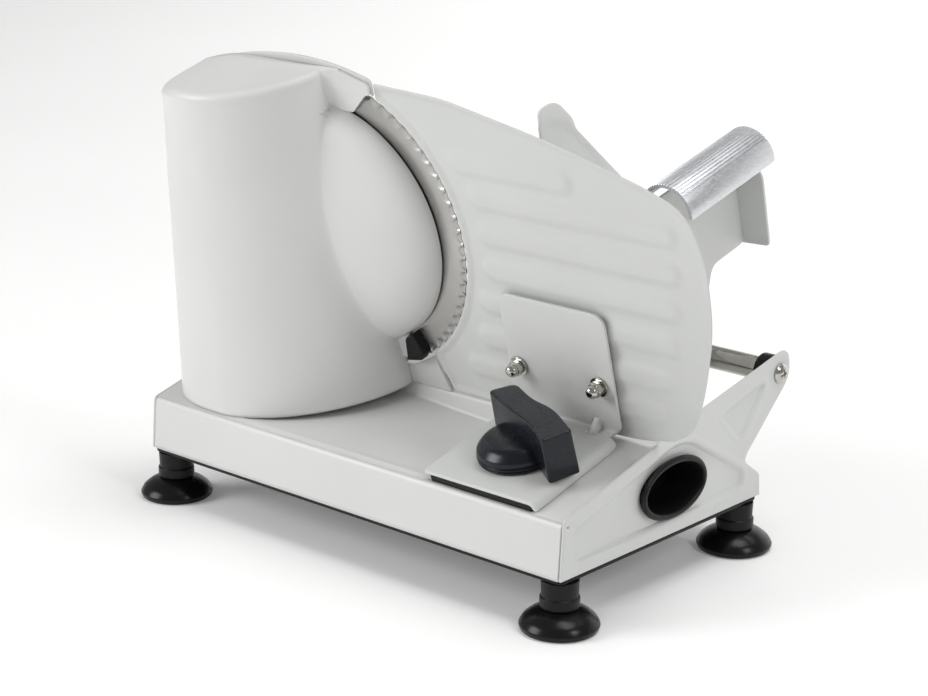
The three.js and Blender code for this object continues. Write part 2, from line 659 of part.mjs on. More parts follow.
function rodBumper(side) {
  const outer = BASE.length / 2 - PANEL.thickness - GAP;
  const [x0, x1] = side > 0 ? [outer - 10, outer] : [-outer, -outer + 10];
  return turnedAboutX(sleeve(ROD.radius + GAP, 10, x0, x1), ROD.n, ROD.u);
}

function rodScrew(side) {
  const face = BASE.length / 2 + GAP;
  const screw = turnedAboutX([
    [0, face - 14], [2.4, face - 14], [2.4, face], [6, face], [5, face + 2.4], [0, face + 3.6],
  ], 0, 0, 12);
  const slotA = alongX(rectangle(-3.6, -0.6, 3.6, 0.6), face + 1.8, face + 5);
  const slotB = alongX(rectangle(-0.6, -3.6, 0.6, 3.6), face + 1.8, face + 5);
  const geometry = toGeometry(cut(screw, slotA, slotB));
  if (side < 0) geometry.rotateZ(Math.PI);
  return solid(geometry.translate(0, ROD.n, ROD.u));
}

const sliderBush = (x0, x1) => turnedAboutX(sleeve(ROD.radius + GAP, 9.2, x0, x1), ROD.n, ROD.u);

function sliderBlock() {
  const shape = outline([
    [ROD.n - 13, ROD.u - 12, 8], [ROD.n + 13, ROD.u - 12, 8],
    [ROD.n + 13, TABLE.bottomU - GAP, 1], [ROD.n - 13, TABLE.bottomU - GAP, 1],
  ]);
  return cut(alongX(shape, -5, 75), turnedAboutX(bar(9.7, -10, 80), ROD.n, ROD.u));
}

const carriageTable = () => {
  const { left, right, front, back, bottomU, topU } = TABLE;
  const sheet = alongU(rectangle(left, front, right, back, 5), bottomU, topU);
  const rearLip = alongN(rectangle(left + 6, topU - 1, right - 6, topU + 7), back - 2.5, back - 0.2);
  const ribs = [0, 1, 2, 3, 4].map((i) => {
    const n = front + 22 + i * 18;
    return alongX(outline([[n - 3, topU - 0.5], [n + 3, topU - 0.5], [n, topU + 1.2]]), left + 12, right - 26);
  });
  return join(sheet, rearLip, ...ribs);
};

const glideShoe = () => alongU(rectangle(60, 21, 100, 29, 2), BASE.topU + GAP, TABLE.bottomU - GAP);

// Upright wall behind the food: the tall part shields the hand next to the blade.
function carriageWall() {
  const foot = TABLE.topU + GAP;
  const shape = outline([
    [WALL.front, foot], [WALL.front, 277.5, 4], [36, 277.5, 8], [47, 262, 6], [48, 256, 4],
    [77, 216], [93, 193], [104, 186], [182, 186, 3], [182, 123, 6], [148, 123, 6], [136.5, foot + 6, 4],
    [136.5, foot],
  ]);
  const sheet = alongX(shape, WALL.x0, WALL.x1);
  const flange = alongU(rectangle(92, 24, WALL.x1, 136, 2), foot, foot + 1.8);
  const endFlange = alongN(outline([
    [WALL.x0, 123, 2], [130, 124, 3], [131, 170, 4], [126, 178, 4], [WALL.x0, 178],
  ]), 180, 182);
  const tab = (n) => cut(alongN(outline([[WALL.x0 + 0.5, 152], [WALL.x0 + 0.5, 170], [93, 168, 5], [93, 154, 5]]),
    n, n + 2.2), turnedAboutN(bar(4.5, n - 5, n + 5), GUIDE.x, GUIDE.u, 12));
  return join(sheet, flange, endFlange, tab(27), tab(150));
}

const GUIDE = { x: 100.5, u: 161, radius: 4 };

const guideRod = () => turnedAboutN(bar(GUIDE.radius, 24, 156), GUIDE.x, GUIDE.u, 12);

// Ribbed half-round grip on top of the wall.
function carriageGrip() {
  const shape = new THREE.Shape();
  const [from, to] = [THREE.MathUtils.degToRad(150), THREE.MathUtils.degToRad(-8)];
  const flutes = 15;
  const at = (r, a) => [GRIP.x + r * Math.cos(a), GRIP.u + r * Math.sin(a)];
  shape.moveTo(...at(GRIP.radius, from));
  for (let i = 0; i < flutes; i += 1) {
    const angle = (part) => from + ((to - from) * (i + part)) / flutes;
    shape.lineTo(...at(GRIP.radius, angle(0.5)));
    shape.lineTo(...at(GRIP.radius - 0.7, angle(0.65)));
    shape.lineTo(...at(GRIP.radius - 0.7, angle(0.9)));
    shape.lineTo(...at(GRIP.radius, angle(1)));
  }
  const inner = 12;
  for (let i = 0; i <= inner; i += 1) {
    shape.lineTo(...at(GRIP.radius - GRIP.sheet, to + ((from - to) * i) / inner));
  }
  shape.closePath();
  return alongN(shape, GRIP.front, GRIP.back);
}

function pusherPlate() {
  const plate = alongN(outline([
    [15, 96, 8], [90, 96, 8], [106, 110, 8], [106, 172, 8], [15, 176, 14],
  ]), 96, 99);
  const boss = turnedAboutN(bar(6.6, 92, 108), GUIDE.x, GUIDE.u, 12);
  const bore = turnedAboutN(bar(GUIDE.radius + 0.5, 80, 120), GUIDE.x, GUIDE.u, 12);
  const spikes = [];
  for (let row = 0; row < 3; row += 1) {
    for (let column = 0; column < 3; column += 1) {
      spikes.push(turnedAboutN([[0, 89], [2.4, 96.5], [0, 96.5]], 32 + 22 * column, 112 + 22 * row, 4));
    }
  }
  return cut(join(plate, boss, ...spikes), bore);
}

const pusherHandle = () => turnedAboutN([
  [0, 99.3], [11, 99.3], [8, 106], [8, 118], [12, 124], [11, 129], [0, 131],
], 54, 136, 14);

// ---------------------------------------------------------------- switch and electrics

function switchCup() {
  const { y, z, halfWidth, halfHeight, floorX } = SWITCH;
  const face = BASE.length / 2;
  const bezel = alongX(ellipse(y, z, halfWidth, halfHeight), face + GAP, face + 2.6, 12);
  const body = alongX(ellipse(y, z, halfWidth - 3, halfHeight - 3), floorX, face + 1, 12);
  const bowl = alongX(ellipse(y, z, halfWidth - 4.6, halfHeight - 4.6), floorX + 1.6, face + 5, 12);
  const window = alongX(rectangle(y - 17.6, z - 8.6, y - 1.4, z + 8.6), floorX - 2, floorX + 5);
  return cut(join(bezel, body), bowl, window);
}

// Switch case behind the cup, open to the front where the rocker sits.
function switchBody() {
  const { y, z, floorX } = SWITCH;
  const box = alongX(rectangle(y - 17.2, z - 8.2, y - 1.8, z + 8.2), floorX - 16, floorX + 4);
  return cut(box, alongX(rectangle(y - 15.6, z - 6.8, y - 3.4, z + 6.8), floorX - 6, floorX + 9));
}

function rocker() {
  const { y, z, floorX } = SWITCH;
  const section = new THREE.Shape();
  section.moveTo(-4.6, -5.6);
  section.lineTo(1.4, -5.6);
  section.quadraticCurveTo(-0.4, 0, 1.4, 5.6);
  section.lineTo(-4.6, 5.6);
  section.closePath();
  const key = extrude(section, 11.4, 5).rotateX(Math.PI / 2).rotateY(-0.12);
  return solid(key.translate(floorX + 3.4, y - 3.8, z));
}

const cordGland = () => turnedAboutN([
  [3, 86], [5.1, 86], [5.1, 92.3], [6.2, 92.3], [6.2, 94.5], [4.6, 98], [3, 98], [3, 86],
], -120, 38.4, 12);

const rectifierBoard = () => {
  const board = solid(new THREE.BoxGeometry(34, 26, 1.6).translate(96, 36, 46));
  const parts = [[86, 32, 8, 8, 7], [104, 40, 10, 8, 5], [100, 29, 6, 6, 9]].map(([x, y, a, b, c]) =>
    solid(new THREE.BoxGeometry(a, b, c).translate(x, y, 46 + c / 2)));
  const legs = [[82, 26], [110, 26], [82, 46], [110, 46]].map(([x, y]) =>
    turnedAboutU(bar(1.8, FLOOR_PLATE.top + GAP, 46), x, y, 8));
  return join(board, ...parts, ...legs);
};

// ---------------------------------------------------------------- assembly

const slicer = new THREE.Group();
const head = new THREE.Group();
head.rotation.x = TILT;
slicer.add(head);

place(slicer, 'base_shell', baseShell(), PAINT);
place(slicer, 'end_panel_right', endPanel(1), SHEET);
place(slicer, 'end_panel_left', endPanel(-1), SHEET);
place(slicer, 'bottom_plate', floorPlate(), BLACK);
footPlaces.forEach((foot) => {
  place(slicer, `foot_stem_${foot.name}`, footStem(foot), BLACK);
  place(slicer, `suction_cup_${foot.name}`, suctionCup(foot), RUBBER);
});
place(slicer, 'switch_cup', switchCup(), BLACK);
place(slicer, 'switch_body', switchBody(), BLACK);
place(slicer, 'rocker', rocker(), BLACK);
place(slicer, 'cord_gland', cordGland(), BLACK);
place(slicer, 'rectifier_board', rectifierBoard(), BOARD);

place(head, 'motor_housing', motorHousing(), PAINT);
place(head, 'back_plate', backPlate(), SHEET);
place(head, 'guard_wedge', guardWedge(), BLACK);
place(head, 'gear_frame', gearFrame(), ALUMINIUM);
place(head, 'blade_bearing', turnedAboutN(sleeve(7.3, 9, -4.8, 8), BLADE.x, BLADE.u), BRASS);
place(head, 'blade', bladeDisc(), STEEL);
place(head, 'blade_shaft', bladeShaft(), STEEL);
place(head, 'blade_bolt', bladeBolt(), BLACK);
place(head, 'worm_wheel', wormWheel(), NYLON);
place(head, 'worm_shaft', wormShaft(), STEEL);
place(head, 'armature', armature(), COPPER);
place(head, 'cooling_fan', coolingFan(), BLACK);
place(head, 'motor_can', motorCan(), STEEL);
place(head, 'motor_end_bell', motorEndBell(), ALUMINIUM);
place(head, 'motor_ring', motorRing(), BLACK);

place(head, 'gauge_plate', gaugePlate(), SHEET);
place(head, 'gauge_bracket', gaugeBracket(), SHEET);
place(head, 'gauge_guide', gaugeGuide(), BLACK);
place(head, 'follower_pin', followerPin(), STEEL);
place(head, 'cam_disc', camDisc(), NYLON);
place(head, 'thickness_knob', thicknessKnob(), NAVY);
place(head, 'knob_screw', knobScrew(), STEEL);
fastenerX.forEach((x, i) => {
  const side = ['left', 'right'][i];
  place(head, `gauge_screw_${side}`, gaugeScrew(x), CHROME);
  place(head, `washer_${side}`, washer(x), CHROME);
  place(head, `acorn_nut_${side}`, acornNut(x), CHROME);
});

place(head, 'slide_rod', slideRod(), CHROME);
[['right', 1], ['left', -1]].forEach(([name, side]) => {
  place(head, `rod_bumper_${name}`, rodBumper(side), RUBBER);
  place(head, `rod_screw_${name}`, rodScrew(side), CHROME);
});
place(head, 'slider_bush_left', sliderBush(-5, 13), BRASS);
place(head, 'slider_bush_right', sliderBush(57, 75), BRASS);
place(head, 'slider_block', sliderBlock(), BLACK);
place(head, 'carriage_table', carriageTable(), SHEET);
place(head, 'carriage_wall', carriageWall(), SHEET);
place(head, 'carriage_grip', carriageGrip(), ALUMINIUM);
place(head, 'glide_shoe', glideShoe(), BLACK);
place(head, 'guide_rod', guideRod(), CHROME);
place(head, 'pusher_plate', pusherPlate(), BLACK);
place(head, 'pusher_handle', pusherHandle(), BLACK);

// The origin is the middle of the whole machine's footprint box, on the floor.
slicer.updateMatrixWorld(true);
const extent = new THREE.Box3().setFromObject(slicer, true);
slicer.position.set(-(extent.min.x + extent.max.x) / 2, -(extent.min.y + extent.max.y) / 2, -extent.min.z);

export default slicer;
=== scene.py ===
import json
import math

import bmesh
import bpy
import numpy as np
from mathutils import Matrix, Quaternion, Vector
from mathutils.geometry import delaunay_2d_cdt


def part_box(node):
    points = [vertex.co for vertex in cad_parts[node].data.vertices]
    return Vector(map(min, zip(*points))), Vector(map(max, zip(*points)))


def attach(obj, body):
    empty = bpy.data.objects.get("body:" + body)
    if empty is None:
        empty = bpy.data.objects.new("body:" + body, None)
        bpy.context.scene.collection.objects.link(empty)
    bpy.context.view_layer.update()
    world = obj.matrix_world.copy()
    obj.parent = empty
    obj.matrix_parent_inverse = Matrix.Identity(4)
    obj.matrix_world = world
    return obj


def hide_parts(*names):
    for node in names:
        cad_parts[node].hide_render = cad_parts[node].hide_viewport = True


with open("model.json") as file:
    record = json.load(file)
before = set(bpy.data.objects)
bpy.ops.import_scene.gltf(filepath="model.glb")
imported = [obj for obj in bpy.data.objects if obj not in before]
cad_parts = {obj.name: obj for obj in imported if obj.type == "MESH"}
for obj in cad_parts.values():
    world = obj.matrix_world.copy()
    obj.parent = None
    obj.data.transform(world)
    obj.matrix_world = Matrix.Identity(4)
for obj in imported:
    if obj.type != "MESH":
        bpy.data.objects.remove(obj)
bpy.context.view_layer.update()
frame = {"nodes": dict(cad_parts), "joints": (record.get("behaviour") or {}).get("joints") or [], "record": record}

# -------- places and names from the frame

MM = 0.001
record = frame["record"]
SLOT_OF = {part["node"]: part["material_slot"] for part in record["subparts"]}
BODY_OF = {node: body for body, nodes in record["behaviour"]["bodies"].items() for node in nodes}
AXIS = {joint["name"]: Vector(joint["axis"]) for joint in frame["joints"]}

# The head leans back: its axes are x along the machine, n square to the blade, u up in its plane.
N_AXIS = AXIS["blade_spin"]
U_AXIS = AXIS["motor_spin"]
X_AXIS = Vector((1, 0, 0))
SIN, COS = N_AXIS.z, N_AXIS.y

shell_low, shell_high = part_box("base_shell")
CENTRE = Vector(((shell_low.x + shell_high.x) / 2, (shell_low.y + shell_high.y) / 2, 0))


def at_base(x, y, z):
    """A point in millimetres from the middle of the base, on the floor."""
    return CENTRE + Vector((x, y, z)) * MM


def at_head(x, n, u):
    """A point in millimetres along the head's axes."""
    return CENTRE + (X_AXIS * x + N_AXIS * n + U_AXIS * u) * MM


def head_of(point):
    """The head coordinates x, n, u of a point in the frame."""
    from_centre = (Vector(point) - CENTRE) / MM
    return from_centre.dot(X_AXIS), from_centre.dot(N_AXIS), from_centre.dot(U_AXIS)


def head_range(node, axis):
    """Lowest and highest place of a CAD node along x, n or u (0, 1 or 2)."""
    values = [head_of(v.co)[axis] for v in frame["nodes"][node].data.vertices]
    return min(values), max(values)


def head_box(node):
    """The three ranges of a CAD node, along x, n and u."""
    return [head_range(node, axis) for axis in range(3)]


def middle(node, axis):
    """Middle of a CAD node along x, n or u."""
    return sum(head_range(node, axis)) / 2


def joint_place(name):
    """Head coordinates of a joint's pivot."""
    joint = next(j for j in frame["joints"] if j["name"] == name)
    return head_of(joint["pos_m"])


HALF_LENGTH = (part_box("end_panel_right")[1].x - CENTRE.x) / MM
SHELL_END = (shell_high.x - CENTRE.x) / MM
SHELL_BOTTOM = shell_low.z / MM
TOP_U = head_range("gauge_guide", 2)[1] - 3.7
FRONT_Y = -89.5
HALF_WIDTH = (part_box("bottom_plate")[1].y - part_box("bottom_plate")[0].y) / MM / 2 + 1
BLADE_X, _, BLADE_U = joint_place("blade_spin")
KNOB_X, KNOB_N, _ = joint_place("knob_turn")
_, ROD_N, ROD_U = joint_place("carriage_lift")
PLATE_FRONT, PLATE_BACK = head_range("back_plate", 1)
GAUGE_BACK = head_range("gauge_screw_left", 1)[1] - 1.8
FASTENER_U = middle("washer_left", 2)
SIDES = ("left", "right")


# -------- camera


def add_camera():
    """The photograph's own view, as solved from its outlines."""
    target, distance = at_base(20.7, -8.96, 114.63), 1.36247
    azimuth, elevation, roll = (math.radians(angle) for angle in (41.61, 16.731, 0.292))
    away = Vector((
        math.sin(azimuth) * math.cos(elevation),
        -math.cos(azimuth) * math.cos(elevation),
        math.sin(elevation),
    ))
    data = bpy.data.cameras.new("camera")
    data.lens = 90.2
    data.sensor_width = 36
    data.clip_start, data.clip_end = 0.05, 30
    camera = bpy.data.objects.new("camera", data)
    bpy.context.scene.collection.objects.link(camera)
    camera.location = target + away * distance
    camera.rotation_mode = "QUATERNION"
    camera.rotation_quaternion = away.to_track_quat("Z", "Y") @ Quaternion((0, 0, 1), roll)
    bpy.context.scene.camera = camera


add_camera()

# -------- materials


class Nodes:
    """A small hand for wiring one material's nodes."""

    def __init__(self, name):
        self.material = bpy.data.materials.new(name)
        self.material.use_nodes = True
        self.tree = self.material.node_tree
        self.shader = self.tree.nodes["Principled BSDF"]
        self.place = self.add("ShaderNodeTexCoord").outputs["Object"]

    def add(self, kind, **values):
        node = self.tree.nodes.new(kind)
        for key, value in values.items():
            setattr(node, key, value)
        return node

    def link(self, source, target):
        self.tree.links.new(source, target)

    def set(self, **values):
        for key, value in values.items():
            self.shader.inputs[key.replace("_", " ")].default_value = value

    def noise(self, scale, detail=2.0, stretch=None):
        """Noise in metres of object space; stretch scales the three axes."""
        place = self.place
        if stretch:
            mapping = self.add("ShaderNodeMapping")
            mapping.inputs["Scale"].default_value = stretch
            self.link(place, mapping.inputs["Vector"])
            place = mapping.outputs["Vector"]
        node = self.add("ShaderNodeTexNoise")
        node.inputs["Scale"].default_value = scale
        node.inputs["Detail"].default_value = detail
        self.link(place, node.inputs["Vector"])
        return node.outputs["Fac"]

    def ramp(self, source, low, high, start=0.3, end=0.7):
        """Maps a 0-1 value between two numbers or two colours."""
        if isinstance(low, tuple):
            node = self.add("ShaderNodeValToRGB")
            stops = node.color_ramp.elements
            stops[0].position, stops[0].color = start, (*low, 1)
            stops[1].position, stops[1].color = end, (*high, 1)
            self.link(source, node.inputs["Fac"])
            return node.outputs["Color"]
        node = self.add("ShaderNodeMapRange")
        for key, value in zip(("From Min", "From Max", "To Min", "To Max"), (start, end, low, high)):
            node.inputs[key].default_value = value
        self.link(source, node.inputs["Value"])
        return node.outputs["Result"]

    def colour(self, source, low, high):
        self.link(self.ramp(source, low, high), self.shader.inputs["Base Color"])

    def roughness(self, source, low, high):
        self.link(self.ramp(source, low, high), self.shader.inputs["Roughness"])

    def bump(self, source, strength, distance):
        node = self.add("ShaderNodeBump")
        node.inputs["Strength"].default_value = strength
        node.inputs["Distance"].default_value = distance
        self.link(source, node.inputs["Height"])
        self.link(node.outputs["Normal"], self.shader.inputs["Normal"])

    def radial(self, centre, axis):
        """Vector from an axis through the centre, square to that axis, and its length in metres."""
        away = self.add("ShaderNodeVectorMath", operation="SUBTRACT")
        away.inputs[1].default_value = centre
        self.link(self.place, away.inputs[0])
        around = self.add("ShaderNodeVectorMath", operation="CROSS_PRODUCT")
        around.inputs[0].default_value = axis
        self.link(away.outputs[0], around.inputs[1])
        length = self.add("ShaderNodeVectorMath", operation="LENGTH")
        self.link(around.outputs[0], length.inputs[0])
        return around.outputs[0], length.outputs["Value"]


def paint(name, tone, roughness):
    """Smooth stoved paint: a trace of orange peel, and slight clouding of tone and gloss."""
    nodes = Nodes(name)
    light = tuple(c * 1.015 for c in tone)
    dark = tuple(c * 0.975 for c in tone)
    nodes.colour(nodes.noise(14, 4), dark, light)
    nodes.roughness(nodes.noise(45, 5), roughness - 0.035, roughness + 0.045)
    nodes.bump(nodes.noise(620, 3), 0.045, 0.0006)
    nodes.set(Coat_Weight=0.1, Coat_Roughness=0.28)
    return nodes.material


def plastic(name, tone, roughness, grain, depth, gloss=0.5):
    """Moulded plastic or rubber with a fine grain."""
    nodes = Nodes(name)
    nodes.colour(nodes.noise(60, 4), tuple(c * 0.92 for c in tone), tuple(c * 1.1 for c in tone))
    nodes.roughness(nodes.noise(90, 5), roughness - 0.02, roughness + 0.03)
    nodes.bump(nodes.noise(grain, 3), depth, 0.0004)
    nodes.set(Specular_IOR_Level=gloss)
    return nodes.material


def metal(name, dark, light, roughness, stretch, scale=260):
    """Bare metal; the stretch draws its machining marks out along one axis."""
    nodes = Nodes(name)
    nodes.set(Metallic=1.0)
    marks = nodes.noise(scale, 4, stretch)
    nodes.colour(marks, dark, light)
    nodes.roughness(marks, roughness - 0.05, roughness + 0.1)
    nodes.bump(marks, 0.05, 0.0002)
    return nodes.material


def blade_steel():
    """Steel brushed round the blade's axis."""
    nodes = Nodes("blade_steel")
    nodes.set(Metallic=1.0, Anisotropic=0.75)
    around, distance = nodes.radial(at_head(BLADE_X, 0, BLADE_U), N_AXIS)
    rings = nodes.add("ShaderNodeTexNoise", noise_dimensions="1D")
    rings.inputs["Scale"].default_value = 2600
    rings.inputs["Detail"].default_value = 3
    nodes.link(distance, rings.inputs["W"])
    mixed = nodes.add("ShaderNodeMath", operation="MULTIPLY_ADD")
    mixed.inputs[1].default_value = 0.45
    nodes.link(nodes.noise(30, 5), mixed.inputs[0])
    halved = nodes.add("ShaderNodeMath", operation="MULTIPLY")
    halved.inputs[1].default_value = 0.55
    nodes.link(rings.outputs["Fac"], halved.inputs[0])
    nodes.link(halved.outputs[0], mixed.inputs[2])
    nodes.colour(mixed.outputs[0], (0.34, 0.332, 0.318), (0.53, 0.522, 0.508))
    nodes.roughness(mixed.outputs[0], 0.26, 0.4)
    nodes.bump(rings.outputs["Fac"], 0.12, 0.0001)
    nodes.link(around, nodes.shader.inputs["Tangent"])
    return nodes.material


MATERIALS = {
    "body_paint": paint("body_paint", (0.69, 0.693, 0.68), 0.4),
    "sheet_paint": paint("sheet_paint", (0.64, 0.65, 0.632), 0.42),
    "black_plastic": plastic("black_plastic", (0.007, 0.007, 0.0075), 0.36, 900, 0.1, 0.22),
    "rubber": plastic("rubber", (0.005, 0.005, 0.0055), 0.26, 500, 0.06, 0.24),
    "knob_plastic": plastic("knob_plastic", (0.005, 0.0065, 0.011), 0.26, 1400, 0.03, 0.36),
    "blade_steel": blade_steel(),
    "machined_steel": metal("machined_steel", (0.38, 0.38, 0.37), (0.55, 0.55, 0.54), 0.28, (1, 1, 9)),
    "chrome": metal("chrome", (0.44, 0.43, 0.395), (0.56, 0.55, 0.51), 0.09, (1, 1, 1), 120),
    "brushed_aluminium": metal("brushed_aluminium", (0.6, 0.61, 0.63), (0.78, 0.79, 0.81), 0.36, (7, 1, 7)),
    "bearing_bronze": metal("bearing_bronze", (0.48, 0.33, 0.15), (0.62, 0.44, 0.22), 0.36, (1, 1, 1)),
    "copper_winding": metal("copper_winding", (0.38, 0.15, 0.06), (0.62, 0.3, 0.14), 0.3, (9, 9, 1)),
    "nylon": plastic("nylon", (0.62, 0.59, 0.5), 0.45, 700, 0.08),
    "circuit_board": plastic("circuit_board", (0.035, 0.15, 0.06), 0.4, 400, 0.1),
}

# -------- mesh helpers


def rounded(corners, steps=7, closed=True):
    """Points along straight sides whose corners (a, b, reach) are rounded by that reach."""
    points = []
    count = len(corners)
    for i, (a, b, *reach) in enumerate(corners):
        corner = np.array((a, b), float)
        at_end = not closed and i in (0, count - 1)
        if not reach or at_end:
            points.append(corner)
            continue
        before = np.array(corners[i - 1][:2], float) - corner
        after = np.array(corners[(i + 1) % count][:2], float) - corner
        before_length, after_length = np.hypot(*before), np.hypot(*after)
        span = min(reach[0], 0.48 * before_length, 0.48 * after_length)
        start = corner + before / before_length * span
        end = corner + after / after_length * span
        for k in range(steps + 1):
            t = k / steps
            points.append((1 - t) ** 2 * start + 2 * t * (1 - t) * corner + t * t * end)
    return points


def arc(a, b, radius, start, end, steps=96):
    """Points of an arc round (a, b); angles in degrees."""
    angles = np.radians(np.linspace(start, end, steps + 1))
    return [np.array((a + radius * math.cos(t), b + radius * math.sin(t))) for t in angles]


def rectangle(low_a, low_b, high_a, high_b, reach, steps=7):
    """A rectangle with equal rounded corners."""
    corners = ((low_a, low_b), (high_a, low_b), (high_a, high_b), (low_a, high_b))
    return rounded([(*corner, reach) for corner in corners], steps)


def circle(a, b, radius, steps=48):
    """A closed circle round (a, b)."""
    return arc(a, b, radius, 0, 360 - 360 / steps, steps - 1)


def ellipse(a, b, half_a, half_b, steps=120):
    """A closed ellipse round (a, b)."""
    angles = [2 * math.pi * k / steps for k in range(steps)]
    return [np.array((a + half_a * math.cos(t), b + half_b * math.sin(t))) for t in angles]


def resampled(points, spacing, closed=True):
    """The same line with extra points, so that no step is longer than the spacing."""
    result = []
    count = len(points)
    for i in range(count if closed else count - 1):
        start, end = points[i], points[(i + 1) % count]
        pieces = max(1, math.ceil(np.hypot(*(end - start)) / spacing))
        result += [start + (end - start) * k / pieces for k in range(pieces)]
    return result if closed else [*result, points[-1]]


def area(loop):
    """Signed area of a closed loop, positive when it runs counter-clockwise."""
    loop = np.array(loop)
    following = np.roll(loop, -1, axis=0)
    return 0.5 * float(np.sum(loop[:, 0] * following[:, 1] - following[:, 0] * loop[:, 1]))


def inset(loop, distance):
    """The loop moved to its left by a distance, which is inwards for a counter-clockwise one."""
    loop = np.array(loop)
    forward = np.roll(loop, -1, axis=0) - loop
    forward /= np.maximum(np.hypot(forward[:, 0], forward[:, 1]), 1e-9)[:, None]
    backward = np.roll(forward, 1, axis=0)
    normal = np.stack((-forward[:, 1] - backward[:, 1], forward[:, 0] + backward[:, 0]), axis=1)
    length = np.maximum(np.hypot(normal[:, 0], normal[:, 1]), 1e-9)
    stretch = np.minimum(2 / length, 2.5)
    return loop + normal / length[:, None] * (distance * stretch)[:, None]


def distance_to(loop, points):
    """Signed distance of points to a closed loop, positive inside it."""
    loop, points = np.array(loop), np.array(points)
    nearest = np.full(len(points), 1e9)
    within = np.zeros(len(points), bool)
    for a, b in zip(loop, np.roll(loop, -1, axis=0)):
        side = b - a
        t = np.clip((points - a) @ side / max(side @ side, 1e-12), 0, 1)
        gap = points - a - t[:, None] * side
        nearest = np.minimum(nearest, np.hypot(gap[:, 0], gap[:, 1]))
        crosses = (a[1] > points[:, 1]) != (b[1] > points[:, 1])
        if a[1] != b[1]:
            at = a[0] + (points[:, 1] - a[1]) * side[0] / side[1]
            within ^= crosses & (points[:, 0] < at)
    return np.where(within, nearest, -nearest)


def smooth_step(value, low, high):
    """Rises smoothly from 0 at low to 1 at high."""
    t = np.clip((np.asarray(value, float) - low) / (high - low), 0, 1)
    return t * t * (3 - 2 * t)


def smooth_max(a, b, blend):
    """The larger of two values, with a fillet of the given size where they are close."""
    near = np.maximum(blend - np.abs(a - b), 0) / blend
    return np.maximum(a, b) + near * near * blend / 4


def grid(rows, wrap_rows=False, wrap_columns=False, keep=None):
    """Points and quads over equal rows; keep(row, column) can leave a quad out."""
    width = len(rows[0])
    points = [p for row in rows for p in row]
    faces = []
    for r in range(len(rows) if wrap_rows else len(rows) - 1):
        below = ((r + 1) % len(rows)) * width
        for c in range(width if wrap_columns else width - 1):
            if keep is None or keep(r, c):
                following = (c + 1) % width
                faces.append((r * width + c, r * width + following, below + following, below + c))
    return points, faces


def lathe(profile, place, segments=72):
    """A turned shell: profile points are (radius, height), and place maps (a, b, height)."""
    rows = []
    for radius, height in profile:
        turns = [2 * math.pi * k / segments for k in range(segments)]
        rows.append([place(radius * math.cos(t), radius * math.sin(t), height) for t in turns])
    return grid(rows, wrap_columns=True)


def ring(profile, place, segments=72):
    """A turned body whose profile closes on itself."""
    return lathe([*profile, profile[0]], place, segments)


def sleeve(bore, radius, ends, bore_edge, edge, place, steps=3, segments=72):
    """A round tube between two ends with rounded rims."""
    start, end = ends
    corners = [(bore, start, bore_edge), (radius, start, edge), (radius, end, edge), (bore, end, bore_edge)]
    return ring(rounded(corners, steps), place, segments)


def plate(outer, place, low, high, holes=(), edge=0.5, spacing=None, relief=None, steps=3):
    """A closed sheet between two heights over a 2D outline with holes, its rims rounded by edge.
    relief(points) lifts both faces at an array of points, and spacing is the mesh size inside."""
    edge = min(edge, (high - low) / 2)
    loops = [np.array(outer) if area(outer) > 0 else np.array(outer)[::-1]]
    loops += [np.array(h)[::-1] if area(h) > 0 else np.array(h) for h in holes]
    flat = [inset(loop, edge) for loop in loops]
    layers = []
    for k in range(steps + 1):
        t = 0.5 * math.pi * k / steps
        layers.append((edge * (1 - math.sin(t)), edge * (1 - math.cos(t))))
    profile = [(off, high - drop) for off, drop in layers]
    profile += [(off, low + drop) for off, drop in reversed(layers)]
    lift = relief or (lambda points: np.zeros(len(points)))

    points, faces = [], []
    boundary = {True: [], False: []}
    for loop in loops:
        start = len(points)
        count = len(loop)
        for off, height in profile:
            moved = inset(loop, off)
            heights = height + lift(moved)
            points += [place(p[0], p[1], h) for p, h in zip(moved, heights)]
        for r in range(len(profile) - 1):
            for i in range(count):
                j = (i + 1) % count
                a, b = start + r * count, start + (r + 1) * count
                faces.append((a + j, a + i, b + i, b + j))
        boundary[True].append(range(start, start + count))
        last = start + (len(profile) - 1) * count
        boundary[False].append(range(last, last + count))

    flat_points = [tuple(p) for loop in flat for p in loop]
    edges = []
    for loop in flat:
        first = len(edges)
        edges += [(first + i, first + (i + 1) % len(loop)) for i in range(len(loop))]
    inner = []
    if spacing:
        (a0, b0), (a1, b1) = flat[0].min(0), flat[0].max(0)
        for row, b in enumerate(np.arange(b0, b1, spacing * 0.87)):
            shift = spacing / 2 * (row % 2)
            inner += [(a + shift, b) for a in np.arange(a0, a1, spacing)]
        inner = np.array(inner)
        clear = distance_to(flat[0], inner) > spacing * 0.45
        for loop in flat[1:]:
            clear &= distance_to(loop, inner) < -spacing * 0.45
        inner = [tuple(p) for p in inner[clear]]
    seeds = [Vector(p) for p in flat_points + inner]
    found, _, triangles, origin, _, _ = delaunay_2d_cdt(seeds, edges, [], 1, 1e-7)
    heights = lift(np.array([tuple(p) for p in found]))
    middles = np.array([sum((found[i] for i in t), Vector((0, 0))) / 3 for t in triangles])
    on_sheet = distance_to(flat[0], middles) > 0
    for loop in flat[1:]:
        on_sheet &= distance_to(loop, middles) < 0
    triangles = [t for t, keep in zip(triangles, on_sheet) if keep]
    for top in (True, False):
        rim = [i for loop in boundary[top] for i in loop]
        index = []
        for p, sources, rise in zip(found, origin, heights):
            on_rim = [s for s in sources if s < len(rim)]
            if on_rim:
                index.append(rim[on_rim[0]])
            else:
                index.append(len(points))
                points.append(place(p[0], p[1], (high if top else low) + rise))
        for triangle in triangles:
            corners = [index[i] for i in triangle]
            faces.append(tuple(corners if top else reversed(corners)))
    return points, faces


